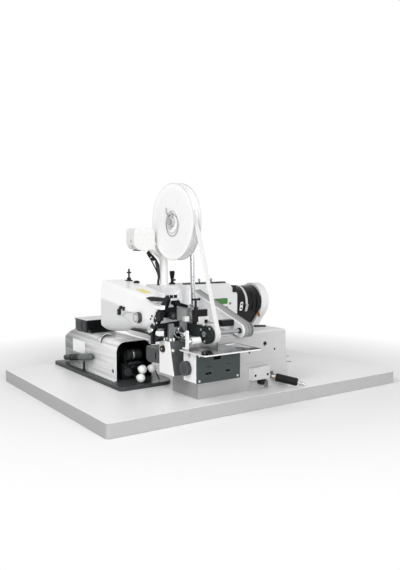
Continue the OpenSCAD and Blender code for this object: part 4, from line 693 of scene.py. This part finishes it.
# Painted highlights and painted shade in bands across the rim.
rim_light_bands = add_node(f.tree, "ShaderNodeValToRGB", {"stops": (
    (0.0, (0.03, 0.033, 0.033)), (0.07, (0.50, 0.50, 0.50)), (0.14, (0.24, 0.245, 0.245)),
    (0.44, (0.34, 0.345, 0.345)),
    (0.50, (0.03, 0.032, 0.032)), (0.58, (0.30, 0.30, 0.30)), (0.86, (0.16, 0.164, 0.164)),
    (1.0, (0.02, 0.02, 0.02)))}, 0, Fac=(f.axis(0) - rim_start) / (high.x - rim_start))
f.coat(rim, rim_light_bands, 0.32, 0.5)
dress["link_cover"] = f.done()
print("rim of the link cover:", round((high.x - rim_start) / MM, 1), "mm wide")

# %% [markdown]
# ## The reel and its tape
# The flanges are thin milky plastic, so what is behind them shines through. Their rims look
# denser, because there one looks along the plastic. The wound tape shows its layers as fine rings
# on both sides: a wave in the distance from the axle.

# %% Reel
def flange_finish(name, node, clear):
    f = plastic(name, (0.975, 0.976, 0.978), 0.20, vary=0.01)
    low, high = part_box(node)
    away = distance_from(f, (low + high) / 2, X)
    radius = (high.y - low.y) / 2
    rim = away > radius - 2.2 * MM
    f.coat(rim, (0.66, 0.665, 0.67))
    f.coat((away < 17 * MM), (0.60, 0.605, 0.61))
    f.coat((away > 31.6 * MM) * (away < 35.4 * MM) * (f.axis(0) < high.x - 2.8 * MM), (0.64, 0.645, 0.65))
    alpha = (clear + (rim + (away < 36 * MM)) * (0.92 - clear)).clamped()
    f.tree.links.new(alpha.socket, f.shader.inputs["Alpha"])
    return f.done(0.02)


dress["reel_flange_left"] = flange_finish("flange_left", "reel_flange_left", 0.86)
dress["reel_flange_right"] = flange_finish("flange_right", "reel_flange_right", 0.82)

f = Finish("wound_tape", WHITE, 0.75, edge_mm=0)
away = distance_from(f, corner("tape_roll", 0.5, 0.5, 0.5), X)
ring = wave(away, 1.1)
wander = f.noise(14, 3)
f.shade = mix_colour(f.tree, (0.5 + ring * 0.35 + (wander - 0.5)).clamped(), (0.91, 0.91, 0.90),
                     (0.96, 0.96, 0.955))
f.height = ring
dress["tape_roll"] = f.done(0.12, 0.6)

# %% Table
dress["table_plate"] = laminate("table_laminate", (0.87, 0.87, 0.87), (0.42, 0.42, 0.42)).done()

for name, node in nodes.items():
    if name in dress:
        node.data.materials.clear()
        node.data.materials.append(dress[name])
print("dressed", len(dress), "of", len(nodes), "nodes; left:", sorted(set(nodes) - set(dress)))

# %% [markdown]
# ## Small pieces, made from outlines
# What is left are plates, screws, wires and clips. Three makers cover them: `turned` spins a
# profile about an axis, `stamped` gives an outline a thickness and breaks its edges, and
# `bent_wire` drags a circle along a path. Each returns a finished object that rides on a body.


def finish_piece(name, bm, material, body="machine", matrix=None, smooth=35):
    if matrix is not None:
        bmesh.ops.transform(bm, matrix=matrix, verts=bm.verts)
    bmesh.ops.recalc_face_normals(bm, faces=bm.faces)
    mesh = bpy.data.meshes.new(name)
    bm.to_mesh(mesh)
    bm.free()
    mesh.shade_smooth()
    mesh.set_sharp_from_angle(angle=math.radians(smooth))
    mesh.materials.append(material)
    piece = bpy.data.objects.new(name, mesh)
    bpy.context.scene.collection.objects.link(piece)
    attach(piece, body)
    print("piece:", name, "on", body + ",", len(mesh.polygons), "faces")
    return piece


def facing(direction, place, roll=0.0):
    """A matrix that turns local +Z to a direction and moves the origin to a place."""
    turn = Vector(direction).to_track_quat("Z", "Y").to_matrix().to_4x4()
    return Matrix.Translation(place) @ turn @ Matrix.Rotation(math.radians(roll), 4, "Z")


# %% Spun pieces
def skin(bm, rows, flip=False):
    """Join neighbouring rows of vertices with faces, and close both ends; flip turns the end faces over."""
    for a, b in zip(rows, rows[1:]):
        for j in range(len(a)):
            k = (j + 1) % len(a)
            bm.faces.new((a[j], a[k], b[k], b[j]))
    bm.faces.new(rows[0] if flip else rows[0][::-1])
    bm.faces.new(rows[-1][::-1] if flip else rows[-1])


def turned(name, profile, direction, place, material, body="machine", sides=32):
    """profile is a list of (radius, height) in millimetres, from the bottom to the top."""
    bm = bmesh.new()
    rings = []
    for radius, height in profile:
        if radius <= 0:
            rings.append([bm.verts.new((0, 0, height * MM))])
        else:
            rings.append([bm.verts.new((radius * MM * math.cos(a), radius * MM * math.sin(a), height * MM))
                          for a in (2 * math.pi * k / sides for k in range(sides))])
    for a, b in zip(rings, rings[1:]):
        for k in range(sides):
            p, q = k, (k + 1) % sides
            corners = [a[p % len(a)], a[q % len(a)], b[q % len(b)], b[p % len(b)]]
            bm.faces.new(list(dict.fromkeys(corners)))
    return finish_piece(name, bm, material, body, facing(direction, place))


# %% Stamped pieces
def rounded(width, height, radius, steps=5):
    """The outline of a rectangle with rounded corners, in millimetres."""
    points = []
    for cx, cy, start in ((1, 1, 0), (-1, 1, 90), (-1, -1, 180), (1, -1, 270)):
        for k in range(steps + 1):
            a = math.radians(start + 90 * k / steps)
            x, y = cx * (width / 2 - radius), cy * (height / 2 - radius)
            points.append((x + radius * math.cos(a), y + radius * math.sin(a)))
    return points


def stamped(name, outline, thick, matrix, material, body="machine", edge=0.3):
    """outline is a list of (x, y) in millimetres; the piece rises from local z = 0."""
    bm = bmesh.new()
    face = bm.faces.new([bm.verts.new((x * MM, y * MM, 0)) for x, y in outline])
    grown = bmesh.ops.extrude_face_region(bm, geom=[face])
    top = [v for v in grown["geom"] if isinstance(v, bmesh.types.BMVert)]
    bmesh.ops.translate(bm, verts=top, vec=(0, 0, thick * MM))
    if edge:
        lid = [e for e in bm.edges if all(v in top for v in e.verts)]
        bmesh.ops.bevel(bm, geom=lid, offset=edge * MM, segments=2, affect="EDGES", clamp_overlap=True)
    return finish_piece(name, bm, material, body, matrix)


# %% Wires
def smooth_path(points, steps=6):
    """Catmull-Rom points through the given ones."""
    pts = [Vector(p) for p in points]
    ends = [2 * pts[0] - pts[1]] + pts + [2 * pts[-1] - pts[-2]]
    path = []
    for a, b, c, d in zip(ends, ends[1:], ends[2:], ends[3:]):
        for k in range(steps):
            t = k / steps
            path.append(0.5 * (2 * b + (c - a) * t + (2 * a - 5 * b + 4 * c - d) * t * t
                               + (3 * b - a - 3 * c + d) * t ** 3))
    return path + [pts[-1]]


def heading(path, k):
    """The direction of a path at its point k, from the points on both sides of it."""
    return (path[min(k + 1, len(path) - 1)] - path[max(k - 1, 0)]).normalized()


def bent_wire(name, points, radius, material, body="machine", sides=10, curved=True):
    path = smooth_path(points) if curved else [Vector(p) for p in points]
    bm = bmesh.new()
    rings, side = [], None
    for k, p in enumerate(path):
        along = heading(path, k)
        side = (side or along.orthogonal()).cross(along).cross(along).normalized() * -1
        other = along.cross(side)
        rings.append([bm.verts.new(p + (side * math.cos(a) + other * math.sin(a)) * radius * MM)
                      for a in (2 * math.pi * j / sides for j in range(sides))])
    skin(bm, rings)
    return finish_piece(name, bm, material, body, smooth=50)


# %% Screws
def cap_screw(name, place, direction, radius=4.0, height=3.0, material=None, body="machine"):
    """A cap screw head with a socket, which is a dark pit in the profile."""
    r = radius
    profile = [(r, 0), (r, height - 0.4), (r - 0.4, height), (r * 0.55, height), (r * 0.5, height - 1.4),
               (0, height - 1.6)]
    return turned(name, profile, direction, place, material or zinc, body, 24)


# %% [markdown]
# ## Labels and plates
# Every label is bare: a thin plate in its colour, with rounded corners, set a hair above the
# surface it sticks to.

# %% Labels
def label_finish(name, shade, rough=0.35):
    f = Finish(name, shade, rough, edge_mm=0.3, Specular_IOR_Level=0.4)
    f.shade = mix_colour(f.tree, f.noise(12, 4), shade, [v * 0.93 for v in shade])
    f.rough = (rough + (f.noise(5, 3) - 0.5) * 0.2).clamped()
    f.height = f.noise(2, 2)
    return f.done(0.02)


cover_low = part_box("motor_cover")[0]
side_x = cover_low.x + 9 * MM
spot = Vector((side_x, cover_low.y + 280.5 * MM, cover_low.z + 72 * MM))
stamped("cover_label", rounded(101, 44, 2), 0.35, facing(-X, spot, 180),
        label_finish("label_white", (0.95, 0.95, 0.95)), edge=0.15)

head_low, head_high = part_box("head_casting")
fall = Vector((0, 1, 0.125)).normalized()
up = X.cross(fall)
spot = Vector((head_low.x + 54 * MM, head_low.y + 152 * MM, 0))
spot.z = head_high.z + 1.25 * MM - (head_high.y - spot.y) * 0.125
lay = Matrix((X, fall, up)).transposed().to_4x4()
stamped("head_label", rounded(27, 60, 1.5), 0.3, Matrix.Translation(spot) @ lay,
        label_finish("label_yellow", (0.80, 0.66, 0.12)), edge=0.12)

arm_low, arm_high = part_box("arm_casting")


def on_arm(dx, dy, dz):
    """A point this many millimetres from the arm's low, left, front corner."""
    return Vector((arm_low.x + dx * MM, arm_low.y + dy * MM, arm_low.z + dz * MM))


place = facing(-Y, on_arm(231, 0, 47))
stamped("arm_plate_border", rounded(53, 20, 2), 0.5, place,
        label_finish("plate_border", (0.10, 0.16, 0.09)), edge=0.2)
stamped("arm_plate", rounded(48, 14, 1.5), 0.9, place,
        label_finish("plate_green", (0.045, 0.20, 0.035)), edge=0.2)
print("labels: 4 plates")

# %% [markdown]
# ## Screws and caps on the arm
# Two small screws stand in the arm's front bores, one tarnished brown. A black block hides the
# joint between the arm and the motor.

# %% Arm fittings
brown = steel("tarnished", (0.30, 0.24, 0.21), 0.4, (1, 1, 1)).done(0.03)
grey_steel = steel("screw_grey", (0.10, 0.10, 0.10), 0.4, (1, 1, 1)).done(0.03)
for name, dx, dz, material in (("arm_screw_1", 268, 38, brown), ("arm_screw_2", 253, 24, grey_steel)):
    cap_screw(name, on_arm(dx, -0.1, dz), -Y, 4.2, 2.2, material)
stamped("arm_block", rounded(14, 17, 2.0), 5,
        facing(-Y, Vector((arm_high.x - 14 * MM, arm_low.y, arm_low.z + 84 * MM))), knob_black, edge=0.8)

# %% [markdown]
# ## On the motor
# A white oval plate with two dark screws, the band's clamp, and a stepped black cover at the right
# end, which is a sector of a ring around the shaft.

# %% Motor fittings
axle = Vector((arm_high.x, arm_low.y + 60 * MM, arm_low.z + 36 * MM))


def on_barrel(x_mm, degrees, radius_mm):
    """A point around the motor's axle; 0 degrees looks to the front, and positive turns up."""
    a = math.radians(degrees)
    out = Vector((0, -math.cos(a), math.sin(a)))
    return axle + X * x_mm * MM + out * radius_mm * MM, out


# %% Sectors of a ring
def barrel_sector(name, x0, x1, r0, r1, start, end, material, steps=14):
    bm = bmesh.new()
    section = (x0, r0), (x0, r1), (x1, r1), (x1, r0)
    rows = []
    for k in range(steps + 1):
        angle = start + (end - start) * k / steps
        rows.append([bm.verts.new(on_barrel(x, angle, r)[0]) for x, r in section])
    skin(bm, rows, flip=True)
    bmesh.ops.recalc_face_normals(bm, faces=bm.faces)
    sharp = [e for e in bm.edges if len(e.link_faces) == 2 and e.calc_face_angle(0) > math.radians(40)]
    bmesh.ops.bevel(bm, geom=sharp, offset=0.6 * MM, segments=2, affect="EDGES", clamp_overlap=True)
    return finish_piece(name, bm, material)


# %% Plates on the motor
motor_gloss = dress["motor_body"]
barrel_sector("motor_end_cover", 88, 106.5, 55.6, 61.5, -24, 22, motor_gloss)
barrel_sector("motor_step", 70, 90, 55.6, 58.2, -30, 40, motor_gloss)
place, out = on_barrel(22, -12, 55.8)
stamped("motor_plate", rounded(12, 32, 5), 1.2, facing(out, place, 0),
        label_finish("plate_white", (0.84, 0.84, 0.84)), edge=0.4)
for name, turn in (("motor_plate_screw_1", -4.5), ("motor_plate_screw_2", -19.5)):
    place, out = on_barrel(22, turn, 56.9)
    turned(name, [(3.6, 0), (3.6, 0.7), (3.1, 1.1), (0, 1.2)], out, place, knob_black, sides=20)
place, out = on_barrel(44, -18, 57.2)
stamped("band_clamp", rounded(12, 26, 2), 3.0, facing(out, place), dress["motor_band"], edge=0.6)
place, out = on_barrel(44, -20, 60.0)
cap_screw("band_screw", place, out, 3.4, 2.4, zinc)
guard_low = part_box("belt_guard")[0]
tilt = Matrix.Rotation(math.radians(-38), 4, "X")
stamped("orange_tab", rounded(11, 24, 3), 0.8,
        Matrix.Translation(Vector((guard_low.x - 0.85 * MM, axle.y - 46 * MM, axle.z - 44 * MM)))
        @ tilt @ facing(X, Vector((0, 0, 0))), label_finish("tab_orange", (0.62, 0.27, 0.05)), edge=0.25)

# %% [markdown]
# ## On the reel
# A wire hook is clipped to the top of the reel's left side, with a ring through its foot. A
# bigger dark ring surrounds the hub, and a grey block sits on the hub's left end. They turn with
# the reel, so they ride on its body.

# %% Reel fittings
hub = corner("reel_flange_left", 0.5, 0.5, 0.5)
face_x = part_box("reel_flange_left")[0].x + 4.4 * MM
wire_grey = plastic("wire_grey", (0.16, 0.16, 0.165), 0.3).done(0.02)


def on_reel(dy, dz, out=2.2):
    return Vector((face_x - out * MM, hub.y + dy * MM, hub.z + dz * MM))


bent_wire("reel_hook", [on_reel(28, 43, 2), on_reel(25, 27, 3), on_reel(14, 21, 3), on_reel(19, 8, 2)],
          1.1, wire_grey, "reel")
for name, dy, dz, radius, wire in (("reel_ring_small", 0, 20, 9, 0.8),
                                   ("reel_ring_large", -5, -10, 33, 0.9)):
    circle = [on_reel(dy + radius * math.cos(a), dz + radius * math.sin(a), wire + 0.4)
              for a in (2 * math.pi * k / 48 for k in range(49))]
    bent_wire(name, circle, wire, wire_grey, "reel", 8, False)
reel_grey = label_finish("reel_grey", (0.58, 0.58, 0.59), 0.4)
stamped("reel_block", rounded(17, 26, 3), 3.5, facing(-X, on_reel(9, -9, 0.2)), reel_grey, "reel", 0.6)

# %% [markdown]
# ## Around the sewing point
# A black nut locks the shaft on the link cover. Under the mechanism, folded strips of bright
# steel carry the cloth to the needle, and a small white clip holds the thread.

# %% Mechanism fittings
wheel_axis = corner("feed_wheel", 0.5, 0.5, 0.5)
nut_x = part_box("link_cover")[1].x - 34 * MM
nut = [(9.4 * math.cos(math.radians(60 * k + 15)), 9.4 * math.sin(math.radians(60 * k + 15)))
       for k in range(6)]
stamped("shaft_nut", nut, 5, facing(-X, Vector((nut_x, wheel_axis.y, wheel_axis.z))), knob_black,
        "arm_shaft", 0.8)


def strip(name, points, width, thick, material, body="machine"):
    """A flat strip bent along points, with its width along Y."""
    path = smooth_path(points, 5)
    wide = Y * width / 2 * MM
    bm = bmesh.new()
    rows = []
    for k, p in enumerate(path):
        along = heading(path, k)
        up = along.cross(wide).normalized() * thick / 2 * MM
        rows.append([bm.verts.new(q) for q in (p - wide - up, p + wide - up, p + wide + up, p - wide + up)])
    skin(bm, rows)
    return finish_piece(name, bm, material, body)


# %% [markdown]
# The strips, screws and nuts are placed from the lowest corner of the mechanism's frame. The
# upper strip and the thread clip sit on the needle's lever, so they ride on its body and swing.

# %% Strips and screws of the mechanism
frame_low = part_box("mechanism_frame")[0]
block_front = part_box("needle_lever")[0].y - 1.2 * MM
bright_strip = steel("strip_bright", (0.74, 0.74, 0.74), 0.2, (1, 1, 1)).done(0.02)


def by_frame(dx, dz, y=None):
    return Vector((frame_low.x + dx * MM, block_front if y is None else y, frame_low.z + dz * MM))


strip("cloth_strip_1", [by_frame(70, 23), by_frame(80, 20.5), by_frame(95.5, 16)], 7, 1.4, bright_strip,
      "needle")
strip_y = block_front + 1.8 * MM      # this one rests on the column
strip("cloth_strip_2", [by_frame(73, 13, strip_y), by_frame(84, 9.5, strip_y),
                        by_frame(98.5, -0.9, strip_y)], 7, 1.4, bright_strip)
clip = [(0, -17.6), (1.6, -17.6), (1.6, 0), (4.8, 0), (4.8, 2.2), (4.2, 2.8), (1.8, 2.8), (1.7, 1.6),
        (0, 1.4)]
turned("thread_clip", clip, -Y, by_frame(89, 31), part_white, "needle", 24)
left_face = frame_low.x + 12 * MM
nut = [(6.8, 0), (6.8, 4.2), (6.4, 4.8), (4.6, 4.8), (4.2, 3.2), (2.2, 3.0), (2.0, 4.4), (0, 4.6)]
turned("lock_screw", nut, -X, Vector((left_face, frame_low.y + 83.7 * MM, frame_low.z + 42 * MM)), zinc)
for k, (dy, dz) in enumerate(((55.5, 65.2), (41, 92), (62, 78))):
    cap_screw("side_screw_%d" % (k + 1),
              Vector((left_face - 0.1 * MM, frame_low.y + dy * MM, frame_low.z + dz * MM)), -X, 2.6, 2.0)
carrier_low, carrier_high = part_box("feed_carrier")
for k, (dx, dy) in enumerate(((4, 40), (6, 72))):
    foot = Vector((carrier_low.x + dx * MM, carrier_low.y + dy * MM, carrier_high.z - 1.2 * MM))
    pin = [(2.6, 0), (2.6, 3.6), (3.6, 4.2), (3.6, 6.6), (2.6, 7.6), (0, 8.0)]
    turned("carrier_pin_%d" % (k + 1), pin, Z, foot, zinc, sides=24)
for k, (dy, dz) in enumerate(((15.9, 72.6), (9.3, 81.8))):
    place = Vector((head_low.x + 0.9 * MM, head_low.y + dy * MM, head_low.z + dz * MM))
    turned("head_nub_%d" % (k + 1), [(2.8, 0), (2.8, 1.6), (2.2, 2.2), (0, 2.3)],
           Vector((-0.96, -0.03, 0.27)), place, knob_black, sides=20)
print("mechanism fittings done")

# %% [markdown]
# ## The column's dial
# The dial on the column is a short black knob in a brass ring. The CAD solid is a plain longer
# drum, so a turned piece with a ribbed rim takes its place and rides on the same body.

# %% Column dial
dial_low, dial_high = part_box("column_knob")
dial_centre = (dial_low + dial_high) / 2
base = Vector((dial_low.x + 13 * MM, dial_centre.y, dial_centre.z))
brass = steel("dial_brass", (0.72, 0.46, 0.13), 0.22, (1, 1, 1)).done(0.02)
turned("dial_ring", [(9.0, -2), (13.0, -2), (13.0, 2.4), (12.0, 3.2), (9.0, 3.2)], -X, base, brass,
       "column_dial", 48)


# %% Ribbed knobs
def ribbed(name, direction, place, radius, length, ribs, depth, material, body, crown=0.8):
    """A knob with ribs along its rim: the radius swings as one goes round."""
    sides = ribs * 4
    bm = bmesh.new()
    stations = [(radius, 0.0), (radius, length - crown), (radius - crown, length), (radius * 0.62, length),
                (radius * 0.58, length - 0.7)]
    rings = []
    for r, h in stations:
        swing = depth if r > radius - crown else depth * 0.4 if r > radius * 0.7 else 0.0
        rings.append([bm.verts.new(((r - swing * (0.5 + 0.5 * math.cos(ribs * a))) * MM * math.cos(a),
                                    (r - swing * (0.5 + 0.5 * math.cos(ribs * a))) * MM * math.sin(a),
                                    h * MM))
                      for a in (2 * math.pi * k / sides for k in range(sides))])
    skin(bm, rings)
    return finish_piece(name, bm, material, body, facing(direction, place))


# %% Dial
dial = ribbed("dial_knob", -X, base, 9.6, 9, 18, 0.7, knob_black, "column_dial")
turned("dial_mark", [(2.3, 0), (2.3, 0.5), (0, 0.6)], -X, base - X * 8.3 * MM, part_white, "column_dial",
       20)
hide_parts("column_knob")

# %% [markdown]
# ## The grip of the hand lever
# The rubber grip is a long sleeve with rounded ends and fine rings that the hand can hold. It is
# spun from one profile about the lever's own line, which runs between the two ends of the
# CAD grip.

# %% Grip
grip_low, grip_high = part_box("lever_grip")
inner = Vector((grip_low.x + 9 * MM, grip_high.y - 10 * MM, grip_high.z - 11 * MM))
outer = Vector((grip_high.x - 9 * MM, grip_low.y + 10 * MM, grip_low.z + 11 * MM))
along = (outer - inner).normalized()
grip_start = inner - along * 3.2 * MM
length = (outer - grip_start).length / MM + 4
profile = [(4.6, 0), (10.8, 0), (11.9, 1.4)]
for k in range(int(length / 4) - 1):
    h = 3 + k * 4
    profile += [(12.3, h), (12.3, h + 2.6), (11.8, h + 3.0), (11.8, h + 3.6)]
profile += [(12.2, length - 3), (10.8, length - 0.8), (9.4, length), (4.6, length)]
grip = turned("rubber_grip", profile, along, grip_start, dress["lever_grip"], "hand_lever", 40)
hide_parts("lever_grip")
copper = steel("copper_ring", (0.62, 0.30, 0.15), 0.28, (1, 1, 1)).done(0.02)
collar = [(4.6, 0), (9.8, 0), (10.8, 0.8), (10.8, 2.8), (4.6, 3.0)]
turned("grip_collar", collar, along, grip_start - along * 3 * MM, copper, "hand_lever", 40)
print("grip:", round(length), "mm long")

# %% [markdown]
# ## Wires below the lamp
# A second strand runs beside the lamp's cable, and black ties hold the two together. The switch
# plate is screwed under the lamp head, so it rides with the lamp.

# %% Lamp wires
sheath = dress["lamp_cable"]
cable_low, cable_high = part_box("lamp_cable")
mid_y = (cable_low.y + cable_high.y) / 2


def at_lamp(dx, dz):
    return Vector((cable_high.x + dx * MM, mid_y, cable_low.z + dz * MM))


bent_wire("lamp_strand", [at_lamp(-43, 97), at_lamp(-36, 88), at_lamp(-27, 74), at_lamp(-17, 56),
                          at_lamp(-8, 38), at_lamp(-4.5, 24)], 2.0, sheath)
sideways = facing(-Y, at_lamp(0, 0))
stamped("cable_web", [(-19, 77), (-9, 67), (-4.5, 52), (-3.2, 26), (-5.6, 30), (-12, 48)], 3, sideways,
        label_finish("web_grey", (0.03, 0.034, 0.036)), edge=0.6)
for k, (dx, dz, long) in enumerate(((-38, 99, 19), (-24.5, 84, 13))):
    place = facing(-Y, at_lamp(dx, dz) + Y * 4 * MM, -44)
    stamped("cable_tie_%d" % (k + 1), rounded(long, 8, 2.5), 8, place, knob_black, edge=0.8)
lamp_low, lamp_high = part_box("lamp_head")
for k, (dx, wide, tall) in enumerate(((23, 22, 2.4), (46, 10, 1.0))):
    place = Vector((lamp_low.x + dx * MM, (lamp_low.y + lamp_high.y) / 2, lamp_low.z + 0.1 * MM))
    stamped("lamp_switch_%d" % (k + 1), rounded(wide, 15, 3), tall, facing(-Z, place), knob_black, "lamp",
            0.6)

# %% [markdown]
# ## The tape
# The tape is a strip of woven cloth. It leaves the front of the wound roll, runs straight down to
# the feed wheel, follows it round to its lowest point and goes on above the plate. Where a line
# touches two circles on the same side follows from their radii: the normal of that line is the
# same at both. It is modelled straight from this path, because cloth under tension has one shape
# only.

# %% Tape path
roll, wheel = corner("tape_roll", 0.5, 0.5, 0.5), corner("feed_wheel", 0.5, 0.5, 0.5)
tape_low, tape_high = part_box("tape")
thick = 0.8 * MM
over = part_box("tape_roll")[1].y - roll.y + 0.3 * MM + thick / 2
under = wheel.z - tape_low.z - thick / 2
span = Vector((0, wheel.y - roll.y, wheel.z - roll.z))
lean = math.acos((over - under) / span.length)
direction = math.atan2(span.z, span.y) - lean
normal = Vector((0, math.cos(direction), math.sin(direction)))

middle_x = (tape_low.x + tape_high.x) / 2
tape_path = []
start, end = roll + normal * over, wheel + normal * under
for k in range(40):
    tape_path.append(start.lerp(end, k / 40))
sweep = (math.pi * 1.5 - direction) % (2 * math.pi)
for k in range(24):
    a = direction + sweep * k / 24
    tape_path.append(wheel + Vector((0, math.cos(a), math.sin(a))) * under)
bottom = wheel - Z * under
for k in range(12):
    tape_path.append(bottom + Y * 55 * MM * k / 11)
for p in tape_path:
    p.x = middle_x
tape_length = sum((b - a).length for a, b in zip(tape_path, tape_path[1:]))
print("tape:", round(tape_length, 3), "m long")

# %% Woven finish
f = Finish("woven_tape", WHITE, 0.8, edge_mm=0, Sheen_Weight=0.25)
thread_mm = 0.9
weave = wave(f.axis(0), thread_mm) * wave(f.axis(2), thread_mm)
f.shade = mix_colour(f.tree, (0.5 + weave * 0.25 + (f.noise(6, 4) - 0.5) * 0.6).clamped(),
                     (0.58, 0.58, 0.575), (0.69, 0.69, 0.685))
f.height = weave
woven = f.done(0.12, 0.5)

# %% Tape mesh
bm = bmesh.new()
half = (tape_high.x - tape_low.x) / 2
cloth = thick * 0.7                                   # woven cloth packs thinner than its threads
across = [-1.0, -0.97, -0.6, -0.2, 0.2, 0.6, 0.97, 1.0]
lower = [(u, -0.25 if abs(u) == 1.0 else -0.5) for u in across]
section = lower + [(u, -t) for u, t in reversed(lower)]
rows = []
for k, p in enumerate(tape_path):
    out = X.cross(heading(tape_path, k)).normalized()
    rows.append([bm.verts.new(p + X * half * u + out * cloth * t) for u, t in section])
skin(bm, rows)
tape = finish_piece("tape_strip", bm, woven)
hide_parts("tape")

# %% [markdown]
# ## Screws of the tunnel cover
# The cover stands on a folded foot. Two pan-head screws hold it to the table on the left side.

# %% Cover screws
for k, dy in enumerate((224, 256)):
    place = Vector((cover_low.x + 4.5 * MM, cover_low.y + dy * MM, cover_low.z + 2.2 * MM))
    turned("foot_screw_%d" % (k + 1), [(4.6, 0), (4.4, 1.0), (2.6, 1.7), (1.2, 2.2), (0, 2.3)], Z, place,
           zinc, sides=24)

# %% [markdown]
# ## Floor and backdrop
# The machine stands on a plain white floor that runs out to a white world. A Light Path node lets
# the camera, and mirrors, see pure white far away, while the floor near the table stays an
# ordinary surface that takes a shadow.

# %% What the camera sees
def seen_directly(tree):
    """1 for what is seen straight, in a mirror or through glass, and 0 for light on surfaces."""
    rays = ("Is Camera Ray", "Is Glossy Ray", "Is Transmission Ray")
    straight, mirrored, clear = (add_node(tree, "ShaderNodeLightPath", {}, ray) for ray in rays)
    return (straight + mirrored + clear).clamped()


FLOOR_CLEAR, FLOOR_FADE = 0.62, 0.7      # metres from the middle, and over how many more it fades
SKY_LIGHT = 0.5                          # how strongly the white world lights the machine
print("white for the camera beyond", FLOOR_CLEAR + FLOOR_FADE, "m")

# %% Floor
floor_mesh = bpy.data.meshes.new("floor")
floor_mesh.from_pydata([(-30, -30, 0), (30, -30, 0), (30, 30, 0), (-30, 30, 0)], [], [(0, 1, 2, 3)])
floor = bpy.data.objects.new("floor", floor_mesh)
bpy.context.scene.collection.objects.link(floor)
floor.location.z = cad_bounds[0][2] - 0.0005

f = Finish("floor", (0.9, 0.9, 0.9), 0.9, edge_mm=0, Specular_IOR_Level=0.1)
f.done()
fade = ((f.vector("LENGTH", f.place, out="Value") - FLOOR_CLEAR) / FLOOR_FADE).clamped()
glow = f.add("ShaderNodeEmission", {}, 0, Color=(1, 1, 1, 1), Strength=1.0)
blend = f.add("ShaderNodeMixShader", {}, 0, _0=seen_directly(f.tree) * fade,
              _1=Wire(f.tree, f.shader.outputs[0]), _2=glow)
f.tree.links.new(blend.socket, f.tree.nodes["Material Output"].inputs["Surface"])
floor_mesh.materials.append(f.material)
print("floor at", round(floor.location.z, 4), "m")

# %% World
world = bpy.data.worlds.new("studio")
bpy.context.scene.world = world
world.use_nodes = True
tree = world.node_tree
strength = SKY_LIGHT + seen_directly(tree) * (1.0 - SKY_LIGHT)
back = tree.nodes["Background"]
back.inputs["Color"].default_value = (1, 1, 1, 1)
tree.links.new(strength.socket, back.inputs["Strength"])
print("world:", SKY_LIGHT, "on the machine")

# %% [markdown]
# ## Lamps
# One broad lamp hangs high on the left, which lights the tops and the faces that look left. A
# second one stands low in front, because the faces that look forward would be dull without it.
# Both are large, so their shadows have soft edges, and weak enough that white enamel keeps its
# colour.

# %% Lamps
def area_lamp(name, place, aim, size, power):
    data = bpy.data.lights.new(name, "AREA")
    data.shape, data.size, data.energy = "DISK", size, power
    lamp = bpy.data.objects.new(name, data)
    bpy.context.scene.collection.objects.link(lamp)
    lamp.location = place
    lamp.rotation_euler = (Vector(aim) - Vector(place)).to_track_quat("-Z", "Y").to_euler()
    print("lamp:", name, power, "W")


area_lamp("key", (-2.5, -0.9, 2.3), (0, 0, 0.2), 1.8, 46)
area_lamp("fill", (-0.5, -3.2, 0.9), (0, 0, 0.2), 1.6, 56)
